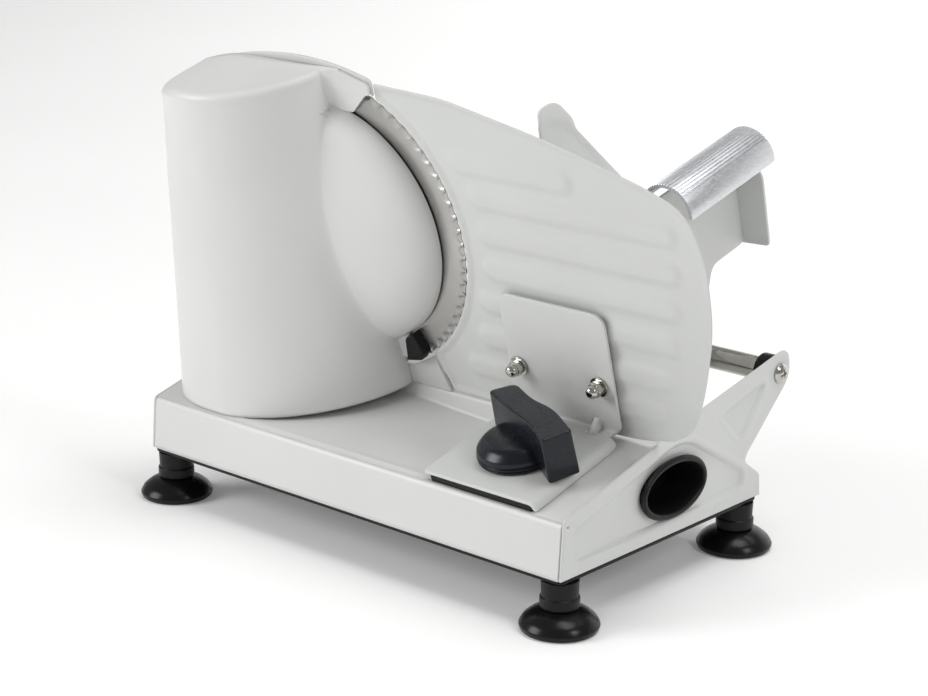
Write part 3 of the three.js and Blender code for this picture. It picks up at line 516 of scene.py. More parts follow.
def merged(*parts):
    """Several shells as one mesh."""
    points, faces = [], []
    for part_points, part_faces in parts:
        start = len(points)
        points += part_points
        faces += [tuple(i + start for i in face) for face in part_faces]
    return points, faces


def make(name, part, *nodes, sharp=35, wall=0.0):
    """A piece that stands for CAD nodes: it takes its body and its material slot from the first.
    Edges above the sharp angle stay crisp, and wall is the thickness given to an open skin."""
    points, faces = part
    mesh = bpy.data.meshes.new(name)
    mesh.from_pydata([tuple(p) for p in points], [], faces)
    edit = bmesh.new()
    edit.from_mesh(mesh)
    bmesh.ops.remove_doubles(edit, verts=edit.verts, dist=2e-6)
    bmesh.ops.dissolve_degenerate(edit, edges=edit.edges, dist=1e-7)
    bmesh.ops.recalc_face_normals(edit, faces=edit.faces)
    centre = sum((vert.co for vert in edit.verts), Vector()) / len(edit.verts)
    outward = sum(
        (face.calc_center_median() - centre).dot(face.normal) * face.calc_area() for face in edit.faces)
    if outward < 0:
        bmesh.ops.reverse_faces(edit, faces=edit.faces)
    edit.to_mesh(mesh)
    edit.free()
    mesh.shade_smooth()
    mesh.set_sharp_from_angle(angle=math.radians(sharp))
    slot = SLOT_OF[nodes[0]]
    mesh.materials.append(MATERIALS[slot])
    piece = bpy.data.objects.new(name, mesh)
    bpy.context.scene.collection.objects.link(piece)
    if wall:
        shell = piece.modifiers.new("wall", "SOLIDIFY")
        shell.thickness = wall * MM
        shell.offset = -1
    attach(piece, BODY_OF[nodes[0]])
    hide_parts(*nodes)


# Each of these gives a function that puts a part's own (a, b, height) into the frame.


def about_n(x, u):
    """Height runs along the head's n."""
    return lambda a, b, h: at_head(x + a, h, u + b)


def about_u(x, n):
    """Height runs along the head's u."""
    return lambda a, b, h: at_head(x + a, n + b, h)


def about_x(n, u):
    """Height runs along x; a and b are n and u."""
    return lambda a, b, h: at_head(h, n + a, u + b)


def standing(x, y):
    """Height runs straight up from the floor."""
    return lambda a, b, h: at_base(x + a, y + b, h)


def side_on(a, b, h):
    """Height runs along x; a and b are y and z."""
    return at_base(h, a, b)


def capsule_relief(ridges, height, radius, soften):
    """Round-ended ribs along x: each ridge is (left x, right x, place across them)."""

    def lift(points):
        total = np.zeros(len(points))
        for left, right, u in ridges:
            along = np.clip(points[:, 0], left + radius, right - radius)
            gap = np.hypot(points[:, 0] - along, points[:, 1] - u)
            total = np.maximum(total, height * (1 - smooth_step(gap, radius - soften, radius + soften)))
        return total

    return lift


# -------- base


RIDGE_N = 30
REAR_TOP = 45.5


def side_point(n, u):
    """The y and z that belong to a place n, u of the head."""
    return n * COS - u * SIN, n * SIN + u * COS


def flat_n(point):
    """The n and u that belong to a place y, z."""
    y, z = point
    return y * COS + z * SIN, z * COS - y * SIN


def tray_depth(x, n):
    """How far the slice tray sinks below the base's top."""
    slope = np.array(rounded([
        (-96, 0), (-84, 0.4, 10), (0, 8.6, 26), (38, 11.2, 14), (49.5, 10.9, 5), (57.5, 0, 2), (66, 0),
    ], 10, closed=False))
    deep = np.interp(x, slope[:, 0], slope[:, 1])
    front = smooth_step(n, -67.6, -64.6)
    back = 1 - smooth_step(n, 9.5, 14)
    return deep * front * back


def base_shell():
    """The skin of the base, drawn from end to end with the tray pressed into its top."""
    front_top = (TOP_U + FRONT_Y * SIN) / COS
    line = resampled(rounded([
        (-HALF_WIDTH, SHELL_BOTTOM), (FRONT_Y, front_top, 4.5), (*side_point(RIDGE_N, TOP_U), 6),
        (HALF_WIDTH - 1.5, REAR_TOP, 4), (HALF_WIDTH, SHELL_BOTTOM),
    ], 8, closed=False), 3.0, closed=False)
    opening_n = (-67.8, -3.4)
    opening_x = (65.7, 140.3)

    extra = [*np.arange(-69, -61.5, 0.6), *np.arange(8, 15.5, 0.7), *opening_n]
    profile = [p for p in line if not (abs(flat_n(p)[1] - TOP_U) < 0.01 and -69 < flat_n(p)[0] < 25)]
    top_line = sorted([*np.arange(-60, 8, 2.4), *np.arange(16, 25, 3), *extra])
    insert = next(i for i, p in enumerate(profile) if flat_n(p)[0] > 24.9 and flat_n(p)[1] > TOP_U - 3)
    top_points = [np.array(side_point(n, TOP_U)) for n in top_line]
    profile = profile[:insert] + top_points + profile[insert:]
    stations = sorted({
        *np.arange(-SHELL_END, SHELL_END, 3.3).round(3), *np.arange(36, 62, 0.9).round(3),
        *opening_x, -SHELL_END + 0.6, SHELL_END - 0.6, SHELL_END,
    })
    rows = []
    for x in stations:
        row = []
        for y, z in profile:
            n, u = flat_n((y, z))
            sink = tray_depth(x, n) if abs(u - TOP_U) < 0.01 else 0.0
            row.append(at_base(x, y, z) - U_AXIS * (float(sink) * MM))
        rows.append(row)

    def keep(r, c):
        x = (stations[r] + stations[r + 1]) / 2
        n, u = flat_n((profile[c] + profile[c + 1]) / 2)
        in_opening = opening_x[0] < x < opening_x[1] and opening_n[0] < n < opening_n[1]
        return not (in_opening and abs(u - TOP_U) < 0.01)

    return grid(rows, keep=keep)


make("base_cover", base_shell(), "base_shell", wall=2.0, sharp=50)


PANEL_TOP = 87.6


def panel_outline(side):
    """Outline in y and z; the left panel's front part stays below the housing's foot."""
    top = PANEL_TOP if side > 0 else TOP_U - 0.3
    return rounded([
        (-HALF_WIDTH, SHELL_BOTTOM, 0.8), (FRONT_Y, (top + FRONT_Y * SIN) / COS, 3),
        (*side_point(24, top), 8), (*side_point(44, PANEL_TOP), 8),
        (*side_point(ROD_N + 12.5, ROD_U + 11.5), 11), (*side_point(ROD_N + 10, ROD_U - 7), 8),
        (73.8, 57.3, 6), (HALF_WIDTH - 1, REAR_TOP - 0.1, 3), (HALF_WIDTH, SHELL_BOTTOM, 0.8),
    ])


SWITCH_LOW, SWITCH_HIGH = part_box("switch_cup")
SWITCH_X = (SWITCH_LOW.x - CENTRE.x) / MM
SWITCH_Y = ((SWITCH_LOW.y + SWITCH_HIGH.y) / 2 - CENTRE.y) / MM
SWITCH_Z = (SWITCH_LOW.z + SWITCH_HIGH.z) / 2 / MM
SWITCH_WIDE = (SWITCH_HIGH.y - SWITCH_LOW.y) / 2 / MM
SWITCH_TALL = (SWITCH_HIGH.z - SWITCH_LOW.z) / 2 / MM


def end_panel(side):
    """Pressed end sheet: a house-shaped field sunk inside a border, and a triangle in the arm."""
    field = rounded([
        (-81, 39.5, 6), (-82, 57, 5), (6, 83.5, 14), (22, 82, 12), (74, 51, 6), (73, 41.5, 6),
    ])
    triangle = rounded([(95, 101.5, 8), (50, 90, 5), (70.5, 70.5, 6)])

    def lift(points):
        to_field, to_arm = distance_to(field, points), distance_to(triangle, points)
        house, arm = smooth_step(to_field, -0.7, 1.1), smooth_step(to_arm, -0.6, 1.0)
        bead = 0.5 * np.exp(-((to_field + 2.6) / 1.3) ** 2) + 0.35 * np.exp(-((to_arm + 2.2) / 1.2) ** 2)
        return side * (np.minimum(bead, 0.3) - 1.9 * house - 1.6 * arm)

    low, high = sorted((side * (HALF_LENGTH - 2.3), side * (HALF_LENGTH - 0.2)))
    holes = [circle(*side_point(ROD_N, ROD_U), 3, 24)]
    if side > 0:
        holes.append(ellipse(SWITCH_Y, SWITCH_Z, SWITCH_WIDE - 2.6, SWITCH_TALL - 2.6))
        holes.append(circle(-86.6, 61.6, 0.7, 10))
    loop = resampled(panel_outline(side), 2.2)
    return plate(loop, side_on, low, high, holes, edge=0.9, spacing=1.35, relief=lift)


make("end_panel_right_pressed", end_panel(1), "end_panel_right")
make("end_panel_left_pressed", end_panel(-1), "end_panel_left")


def bottom_plate():
    """Thin sheet that closes the base from below."""
    low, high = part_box("bottom_plate")
    half_x, half_y = (high.x - low.x) / MM / 2, (high.y - low.y) / MM / 2
    outline = rectangle(-half_x, -half_y, half_x, half_y, 5)
    return plate(outline, standing(0, 0), low.z / MM, high.z / MM, edge=0.8)


make("bottom_plate_sheet", bottom_plate(), "bottom_plate")

STEM_PROFILE = rounded([
    (0, 35), (4.8, 35), (4.8, 28.5), (10.6, 28.5, 0.4), (10.2, 19.2, 0.3), (11.1, 18.6, 0.6),
    (11.1, 13.2, 0.5), (10.2, 12.3, 0.3), (0, 12.3),
], 4, closed=False)
CUP_PROFILE = rounded([
    (0, 12.2), (10.4, 12.2, 0.4), (15.5, 10.4, 4.5), (20.4, 6.6, 4), (22.5, 2.9, 0.9), (21.4, 0.02, 0.6),
    (19.2, 0.02, 0.4), (12, 4.4, 4), (0, 7.2),
], 6, closed=False)

for corner in ("front_right", "front_left", "rear_right", "rear_left"):
    cup_low, cup_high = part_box(f"suction_cup_{corner}")
    foot_at = ((cup_low + cup_high) / 2 - CENTRE) / MM
    stem, cup = f"foot_stem_{corner}", f"suction_cup_{corner}"
    make(f"{stem}_turned", lathe(STEM_PROFILE, standing(foot_at.x, foot_at.y), 64), stem)
    make(f"{cup}_moulded", lathe(CUP_PROFILE, standing(foot_at.x, foot_at.y), 88), cup)

# -------- switch


def switch_cup():
    """Oval bowl with a thick rolled rim, open behind for the rocker."""
    face = HALF_LENGTH
    rim = rounded([
        (-5.2, SWITCH_X + 1.6), (-4.9, SWITCH_X + 8), (-4.3, face - 1, 2), (-3.6, face + 2.4, 2.0),
        (-1.4, face + 2.5, 1.6), (0, face + 1.2, 1.2), (0, face + 0.3, 0.3), (-2.6, face + 0.3),
        (-3.0, SWITCH_X),
    ], 6, closed=False)
    rows = []
    for grow, x in rim:
        loop = ellipse(SWITCH_Y, SWITCH_Z, SWITCH_WIDE + grow, SWITCH_TALL + grow, 128)
        rows.append([at_base(x, y, z) for y, z in loop])
    wall = grid(rows, wrap_columns=True)
    floor_loop = ellipse(SWITCH_Y, SWITCH_Z, SWITCH_WIDE - 3.6, SWITCH_TALL - 3.6)
    window = rectangle(SWITCH_Y - 17.6, SWITCH_Z - 8.6, SWITCH_Y - 1.4, SWITCH_Z + 8.6, 1, 4)
    floor = plate(floor_loop, side_on, SWITCH_X, SWITCH_X + 1.6, [window], edge=0.2)
    return merged(wall, floor)


make("switch_bezel", switch_cup(), "switch_cup", sharp=40)


def switch_rocker():
    """The key, dished along its height and tilted to one side."""
    pivot_x, key_y, tilt = SWITCH_X + 3.4, SWITCH_Y - 9.5, -0.12
    section = rounded([(-4.4, -5.4, 0.8), (1.6, -5.4, 0.8), (-0.2, 0, 5), (1.6, 5.4, 0.8), (-4.4, 5.4, 0.8)])

    def place(a, b, h):
        return at_base(
            pivot_x + a * math.cos(tilt) - b * math.sin(tilt), key_y + h,
            SWITCH_Z + a * math.sin(tilt) + b * math.cos(tilt))

    return plate(section, place, -5.6, 5.6, edge=0.5)


def switch_frame():
    """Collar round the rocker and the closed case behind it."""
    back, y0, z0 = (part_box("switch_body")[0] - CENTRE) / MM
    face, y1, z1 = (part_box("switch_body")[1] - CENTRE) / MM
    outer = rectangle(y0, z0, y1, z1, 1, 4)
    mouth = rectangle(y0 + 1.6, z0 + 1.4, y1 - 1.6, z1 - 1.4, 1, 4)
    collar = plate(outer, side_on, face - 8, face, [mouth], edge=0.4)
    case = plate(outer, side_on, back, face - 8.2, edge=0.4)
    return merged(collar, case)


make("switch_case", switch_frame(), "switch_body")
make("rocker_key", switch_rocker(), "rocker")

GLAND_N, GLAND_TIP = head_range("cord_gland", 1)
GLAND_PROFILE = rounded([
    (3, GLAND_N, 0.2), (5.1, GLAND_N, 0.3), (5.1, GLAND_N + 6.3), (6.2, GLAND_N + 6.3, 0.4),
    (6.2, GLAND_N + 8.5, 0.5), (4.6, GLAND_TIP, 0.8), (3, GLAND_TIP, 0.4),
], 4)
gland_place = about_n(middle("cord_gland", 0), middle("cord_gland", 2))
make("cord_gland_moulded", ring(GLAND_PROFILE, gland_place, 48), "cord_gland")

# -------- motor housing

TOWER_TOP = 287.0
CROWN = 4.5
BULGE_RADIUS = 78.0
BULGE_DEPTH = 25.2
FLANGE_DEPTH = 2.2
COVER_BACK = PLATE_FRONT - 0.3
# (u, x) along the right edges of the two flat flanges that close the ends of the blade's opening.
LOWER_FLANGE = ((103.2, -22), (104, -14), (119.5, -12.9), (122, -16.8), (122.3, -40))
UPPER_FLANGE = (
    (261.2, -40), (263, -19.5), (274.2, -8), (275, -4.8), (281, -4.6), (283.6, -14.5), (287.5, -28),
)
NO_EDGE = -200.0
LEFT_COLUMNS, RIGHT_COLUMNS, RIM_COLUMNS = 70, 130, 14


def tower_section(u):
    """Left, crest, right, depth and the two side powers of the tower at a height."""
    rise = min((u - 85) / 185, 1.05)
    foot = (-167, -105, -19, 80, 0.6, 1.2)
    head = (-146, -95, -37, 59.4, 0.85, 1.05)
    return [f + (h - f) * rise for f, h in zip(foot, head)]


def flange_edge(u):
    """Right edge of the flange at a height, or far to the left where there is none."""
    for line in (LOWER_FLANGE, UPPER_FLANGE):
        if line[0][0] <= u <= line[-1][0]:
            return np.interp(u, [p[0] for p in line], [p[1] for p in line])
    return NO_EDGE


def housing_row(u, shrink=1.0, draw_in=0.0):
    """The (x, n) line of the cover at one level, from its left rim over its front to its right rim."""
    left, crest, right, depth, left_power, right_power = tower_section(u)
    left, right, depth = left + draw_in, right - draw_in, depth - draw_in
    above = u - BLADE_U
    bulge_edge = NO_EDGE
    if abs(above) < BULGE_RADIUS:
        bulge_edge = BLADE_X + math.sqrt(BULGE_RADIUS ** 2 - above ** 2)
    core = max(right, bulge_edge)
    rim = max(core, flange_edge(u))
    flange = float(smooth_step(flange_edge(u) - core, -3, 5))

    def depth_at(x):
        reach = np.where(x < crest, crest - left, right - crest)
        power = np.where(x < crest, left_power, right_power)
        share = np.minimum(np.abs(x - crest) / reach, 1)
        tower = depth * np.maximum(1 - share ** (2 / power), 0) ** (power / 2)
        tower = tower - np.maximum(x - right, 0) * 1.5
        radius = np.hypot(x - BLADE_X, above)
        inside = np.minimum(radius / BULGE_RADIUS, 1)
        bulge = BULGE_DEPTH * np.sqrt(1 - inside ** 2.5) + 1.8 * np.exp(-(radius / 40) ** 4)
        bulge = bulge - np.maximum(radius - BULGE_RADIUS, 0) * 8
        cover = smooth_max(tower, bulge, 8)
        fillet = 0.01 + 1.5 * flange + 11 * smooth_step(u, 256, 275)
        joined = smooth_max(cover, FLANGE_DEPTH * flange, fillet)
        return np.maximum(np.where(x > crest, joined, tower), 0) * shrink

    row = []
    spans = ((left, crest, LEFT_COLUMNS), (crest, core, RIGHT_COLUMNS), (core, rim, RIM_COLUMNS))
    for start, end, count in spans:
        bunch = 0.5 - 0.5 * np.cos(np.linspace(0, math.pi, 900))
        fine = start + (end - start) * bunch
        deep = depth_at(fine)
        steps = np.concatenate(([0], np.cumsum(np.hypot(np.diff(fine), np.diff(deep)))))
        at = np.linspace(0, steps[-1], count)
        xs, ds = np.interp(at, steps, fine), np.interp(at, steps, deep)
        row += [(x, COVER_BACK - d) for x, d in zip(xs, ds)][1 if row else 0:]
    return [(row[0][0], COVER_BACK), *row, (row[-1][0], COVER_BACK)]


def cap_point(x, n, u):
    """A head point of the cover; the cap falls off towards the tower's left corner."""
    fall = 10.5 * max(0.0, (-102 - x) / 45) ** 1.6
    return at_head(x, n, u - fall * float(smooth_step(u, 225, TOWER_TOP)))


def housing():
    """Tower and bulge in one pressed cover, open behind."""
    low = TOP_U + 0.3
    swing = np.radians(np.arange(-90, 91, 4.5))
    levels = {u for u, _ in (*LOWER_FLANGE, *UPPER_FLANGE) if u < 280} | {104.4, TOWER_TOP - CROWN}
    for u in [*(BLADE_U + BULGE_RADIUS * np.sin(swing)), *np.arange(low, TOWER_TOP - CROWN, 1.8)]:
        if min(abs(u - level) for level in levels) > 0.6 or u == low:
            levels.add(float(u))
    rows = []
    for u in sorted(levels):
        if low <= u <= TOWER_TOP - CROWN:
            rows.append([cap_point(x, n, u) for x, n in housing_row(u)])
    for t in np.linspace(0, math.pi / 2, 9)[1:]:
        u = TOWER_TOP - CROWN + CROWN * math.sin(t)
        section = housing_row(u, draw_in=CROWN * (1 - math.cos(t)))
        rows.append([cap_point(x, n, u) for x, n in section])
    for shrink in (0.97, 0.9, 0.78, 0.62, 0.45, 0.28, 0.12, 0):
        section = housing_row(TOWER_TOP, shrink, CROWN)
        rows.append([cap_point(x, n, TOWER_TOP + 0.5 * (1 - shrink)) for x, n in section])
    return grid(rows)


make("motor_cover", housing(), "motor_housing", wall=1.0, sharp=32)


def blade_angle(x, radius):
    """Degrees above the blade's centre at which a circle round it reaches x."""
    return math.degrees(math.acos((x - BLADE_X) / radius))


def back_plate():
    """Flat plate behind the cover, cut away round the blade."""
    right_low, right_high = 3.0, -4.6
    radius = 97
    rim = rounded([
        (right_high, 283, 3), (-30, 289.5, 12), (-60, 292, 16), (-100, 289, 20), (-146, 277, 8),
        (-149, 245, 10), (-166.5, TOP_U + 0.3, 2), (12, TOP_U + 0.3, 1),
    ])
    low, high = blade_angle(right_low, radius), blade_angle(right_high, radius)
    cut = arc(BLADE_X, BLADE_U, radius, 360 - low, high, 180)
    return plate([*rim, *cut], about_n(0, 0), PLATE_FRONT, PLATE_BACK, edge=0.7)


make("back_sheet", back_plate(), "back_plate")

WEDGE = rounded([
    (-12, 119.6, 2), (-5, 124.6, 1.5), (1.6, 111.4, 2), (-1.4, 107, 1.5), (-13.4, 104.6, 2),
])
wedge_n = head_range("guard_wedge", 1)
make("guard_wedge_moulded", plate(WEDGE, about_n(0, 0), *wedge_n, edge=1.0), "guard_wedge")

# -------- blade


def blade():
    """Disc with scallops ground into the front of its edge."""
    (left, right), (n0, n1), _ = head_box("blade")
    outer = (right - left) / 2
    teeth, per_tooth, tooth_depth = 70, 14, 0.9
    scallop_depth, scallop_narrowing, grind_run, grind_depth = 4.8, 2.35, 2.2, 0.8
    bevel_start, bevel_run, bevel_depth, thinnest = 85.5, 10, 0.18, 0.12
    radii = [8.4, 9.2, 30, 55, 76, 80, 84, 86.4, *np.linspace(87.4, outer - 0.6, 14), outer]
    front, back = [], []
    for r in radii:
        front_row, back_row = [], []
        for k in range(teeth * per_tooth):
            phase = (k % per_tooth) / per_tooth - 0.5
            angle = 2 * math.pi * k / (teeth * per_tooth)
            tooth = tooth_depth * (1 - abs(2 * phase) ** 1.6)
            reach = min(r, outer - tooth)
            moon = scallop_depth * math.sqrt(max(1 - (scallop_narrowing * phase) ** 2, 0))
            start = outer - moon
            grind = min(max((reach - start) / grind_run, 0), 1) * grind_depth if moon > 0.3 else 0.0
            bevel = min(max((reach - bevel_start) / bevel_run, 0), 1) * bevel_depth
            x, u = BLADE_X + reach * math.cos(angle), BLADE_U + reach * math.sin(angle)
            front_row.append(at_head(x, min(n0 + grind + bevel, n1 - thinnest), u))
            back_row.append(at_head(x, n1, u))
        front.append(front_row)
        back.append(back_row)
    return grid([*front, *reversed(back)], wrap_rows=True, wrap_columns=True)


make("blade_disc", blade(), "blade", sharp=12)


def blade_bolt():
    """Black centre cap on a short shank, both turned round the blade's axis."""
    n0, n1 = head_range("blade_bolt", 1)
    n_face = head_range("blade", 1)[1] + 0.6
    return merged(
        lathe(rounded([
            (0, n_face), (13, n_face, 0.4), (12.2, n1 - 1.2, 0.8), (5, n1 - 0.2, 3), (0, n1),
        ], 5, closed=False), about_n(BLADE_X, BLADE_U)),
        lathe([(0, n0), (2.6, n0), (2.6, n_face), (0, n_face)], about_n(BLADE_X, BLADE_U), 24),
    )


make("blade_cap", blade_bolt(), "blade_bolt")

# -------- gauge plate and bracket

GAUGE_LOW_N = GAUGE_BACK - 0.3 - 2.4
SCREW_X = [middle(f"washer_{side}", 0) for side in SIDES]


def gauge_plate():
    """Large plate with soft pressed ribs and a rolled rim."""
    radius = 95.4
    low_x, high_x = 3.5, -3.4
    rim = rounded([
        (-3.6, 280.8, 2), (47.6, 278.6, 12), (117, 264.8, 20), (181.6, 247.1, 14), (205.5, 237, 16),
        (214.7, 209, 16), (213.6, 170, 16), (203, 130.5, 16), (192.3, 103.9, 14), (178.7, 93, 12),
        (150, 87, 16), (100, 86.4, 4), (13.2, 86.4, 2),
    ][::-1], 9)
    cut = arc(BLADE_X, BLADE_U, radius, blade_angle(high_x, radius), -blade_angle(low_x, radius), 120)
    outline = resampled([*rim, *cut], 2.5)
    ridges = [
        (44, 130, BLADE_U + 52), (54, 196, BLADE_U + 32), (56, 195, BLADE_U + 9.5), (56, 192, BLADE_U - 13),
        (48, 188, BLADE_U - 35), (43, 180, BLADE_U - 58.5), (30, 172, BLADE_U - 80.5),
    ]
    pressed = capsule_relief(ridges, 1.45, 6.2, 3.2)
    holes = [circle(x, FASTENER_U, 2.6, 20) for x in SCREW_X]

    def lift(points):
        from_edge = distance_to(outline, points)
        return -np.maximum(pressed(points), 1.3 * (1 - smooth_step(from_edge, 1.4, 4.2)))

    return plate(outline, about_n(0, 0), GAUGE_LOW_N + 1.5, GAUGE_BACK - 0.3, holes, 1.0, 2.0, lift)


make("gauge_plate_pressed", gauge_plate(), "gauge_plate")

(BRACKET_LEFT, BRACKET_RIGHT), (BRACKET_FRONT, WALL_BACK), (_, UPRIGHT_TOP) = head_box("gauge_bracket")
BRACKET_TOP = head_range("thickness_knob", 2)[0] + 12.0
SHEET = 2.0


def gauge_bracket():
    """One folded sheet: floor under the knob, rounded lip on its right, upright for the plate."""
    inner = 1.6
    middle_radius = inner + SHEET / 2
    fold = WALL_BACK - 1 - SHEET / 2 - inner
    upright_start = fold + middle_radius * math.pi / 2
    lip_inner = 3.3
    lip_radius = lip_inner + SHEET / 2
    lip_start = BRACKET_RIGHT - lip_inner - SHEET
    lip_quarter = lip_radius * math.pi / 2
    lip_end = lip_start + lip_quarter + 0.3
    top = upright_start + UPRIGHT_TOP - BRACKET_TOP - inner

    def place(a, b, h):
        """Bends the flat sheet: a runs across it, b from its front edge up into the upright."""
        if b <= fold:
            if a <= lip_start:
                return at_head(a, b, BRACKET_TOP - SHEET + h)
            turn = min((a - lip_start) / lip_radius, math.pi / 2)
            reach = lip_inner + h
            down = max(a - lip_start - lip_quarter, 0)
            return at_head(
                lip_start + reach * math.sin(turn), b,
                BRACKET_TOP - SHEET - lip_inner + reach * math.cos(turn) - down)
        turn = min((b - fold) / middle_radius, math.pi / 2)
        reach = inner + SHEET - h
        rise = max(b - upright_start, 0)
        return at_head(
            a, fold + reach * math.sin(turn), BRACKET_TOP + inner - reach * math.cos(turn) + rise)

    upright_right = BRACKET_RIGHT - 1
    outline = resampled(rounded([
        (BRACKET_LEFT, BRACKET_FRONT, 2.5), (lip_end, BRACKET_FRONT, 2.5), (lip_end, fold - 5, 3),
        (lip_start - 0.4, fold - 3.2, 1), (lip_start - 0.4, fold - 0.2, 1),
        (upright_right, upright_start + 1.5, 2), (upright_right, top, 9), (66, top, 9),
        (66, upright_start, 1), (BRACKET_LEFT, fold - 2, 2),
    ], 8), 1.6)
    slot = rectangle(KNOB_X - 4.6, KNOB_N - 4.6, KNOB_X + 4.6, KNOB_N + 21, 4, 6)
    screw_s = upright_start + FASTENER_U - BRACKET_TOP - inner
    holes = [slot, *(circle(x, screw_s, 2.6, 20) for x in SCREW_X)]

    def crease(points):
        """A faint line bent into the upright, from the lower right to the upper left."""
        climb = points[:, 1] - upright_start
        across = points[:, 0] - (118 - 0.16 * climb)
        below_top = top - upright_start - climb
        inside = smooth_step(climb, 1, 8) * smooth_step(below_top, 2, 9)
        return 0.28 * inside * np.clip(across / 5, -1, 1) * np.exp(-np.abs(across) / 16)

    folded = plate(outline, place, 0, SHEET, holes, 0.7, 1.5, crease)
    gussets = []
    for x, reach, climb in ((83, 7, 5.5), (126, 9.5, 7.6)):
        gussets.append(plate(rounded([
            (WALL_BACK - 1.4 - reach, BRACKET_TOP - 0.6, 1), (WALL_BACK - 1.4, BRACKET_TOP - 0.6, 1),
            (WALL_BACK - 1.4, BRACKET_TOP + climb, 1.6),
        ], 5), about_x(0, 0), x - 3, x + 3, edge=2.4, steps=6))
    return merged(folded, *gussets)


make("gauge_bracket_folded", gauge_bracket(), "gauge_bracket", sharp=40)


def gauge_guide():
    """Black slide under the bracket, with a round well for the knob; its front edge shows."""
    (x0, x1), (n0, n1), (well_u, u1) = head_box("gauge_guide")
    u0 = TOP_U - 1.7
    outline = rectangle(x0, n0, x1, n1, 1.5, 4)
    flange = plate(outline, about_u(0, 0), u0, u1, [circle(KNOB_X, KNOB_N, 25)], edge=0.6)
    well = ring([
        (4.4, well_u), (26.9, well_u), (26.9, u0), (25, u0), (25, well_u + 3.7), (4.4, well_u + 3.7),
    ], about_u(KNOB_X, KNOB_N))
    return merged(flange, well)


make("gauge_guide_moulded", gauge_guide(), "gauge_guide")

# -------- thickness knob


def thickness_knob():
    """Drum with a soft shoulder and rings round its foot, and a long swept wing."""
    radius = 23.7
    foot = BRACKET_TOP + 0.4
    # How far each corner of the side stands in from the radius, its height and its rounding.
    side = (
        (0.8, 0, 0.2), (0.2, 0.8, 0.3), (0.2, 1.5, 0.2), (0.9, 1.8, 0.2), (0.9, 2.2, 0.2), (0, 2.5, 0.3),
        (0, 3.3, 0.3), (0.8, 3.6, 0.2), (0.8, 4.1, 0.2), (0.1, 4.6, 0.6), (0.6, 7, 2.5), (5.4, 12.2, 4.5),
    )
    profile = rounded([
        (0, foot), *((radius - back, foot + height, reach) for back, height, reach in side),
        (4, foot + 13.2, 6), (0, foot + 13.2),
    ], 5, closed=False)
    drum = lathe(profile, about_u(KNOB_X, KNOB_N), 112)
    wing_line = resampled(rounded([
        (76, -20.5, 4), (86, -7.5, 5), (106, -17.5, 16), (124, -20.5, 16), (146.5, -33.5, 2.2),
        (138.5, -50, 2.2), (121, -38.5, 16), (100, -31.5, 16),
    ], 14), 1.6)
    top = head_range("thickness_knob", 2)[1]

    def crown(points):
        return -0.9 * smooth_step(np.hypot(points[:, 0] - 104, points[:, 1] + 26), 10, 46)

    low = foot + 2.1

    def place(a, b, h):
        taper = 1 + 0.035 * (top - h) / (top - low)
        return at_head(KNOB_X + (a - KNOB_X) * taper, KNOB_N + (b - KNOB_N) * taper, h)

    wing = plate(wing_line, place, low, top, (), 1.1, 2.2, crown, 5)
    stem = lathe([(4, foot), (4, 79), (0, 79)], about_u(KNOB_X, KNOB_N), 32)
    return merged(drum, wing, stem)


make("thickness_knob_moulded", thickness_knob(), "thickness_knob", sharp=38)

# -------- fasteners


def acorn_nut(side):
    """Hexagon with chamfered corners under a domed cap."""
    node = f"acorn_nut_{side}"
    tip, seat = head_range(node, 1)
    place = about_n(middle(node, 0), FASTENER_U)
    turns = [2 * math.pi * k / 72 for k in range(72)]
    rows = []
    for limit, n in ((0, seat), (4.1, seat), (5, seat - 0.5), (5, seat - 3.6), (4.2, seat - 4.2)):
        row = []
        for t in turns:
            hexagon = 4.07 / math.cos((t % (math.pi / 3)) - math.pi / 6)
            r = min(hexagon, limit)
            row.append(place(r * math.cos(t), r * math.sin(t), n))
        rows.append(row)
    dome = rounded([
        (3.9, seat - 4.1), (3.85, seat - 6.2, 1.6), (2.6, tip + 0.7, 1.8), (0, tip),
    ], 6, closed=False)
    rows += [[place(r * math.cos(t), r * math.sin(t), n) for t in turns] for r, n in dome]
    return grid(rows, wrap_columns=True)


def gauge_screw(side):
    """Shank with a low head behind the gauge plate."""
    node = f"gauge_screw_{side}"
    n0, n1 = head_range(node, 1)
    return lathe(rounded([
        (0, n0), (2.2, n0, 0.3), (2.2, n1 - 1.5), (4.6, n1 - 1.5, 0.2), (4.4, n1 - 0.5, 0.5),
        (2.6, n1, 0.8), (0, n1),
    ], 4, closed=False), about_n(middle(node, 0), FASTENER_U), 40)


def washer(side):
    """Flat washer with softened rims."""
    node = f"washer_{side}"
    place = about_n(middle(node, 0), FASTENER_U)
    return sleeve(2.5, 6, head_range(node, 1), 0.15, 0.3, place, segments=56)


for side in SIDES:
    make(f"acorn_nut_{side}_turned", acorn_nut(side), f"acorn_nut_{side}")
    make(f"gauge_screw_{side}_turned", gauge_screw(side), f"gauge_screw_{side}")
    make(f"washer_{side}_turned", washer(side), f"washer_{side}")


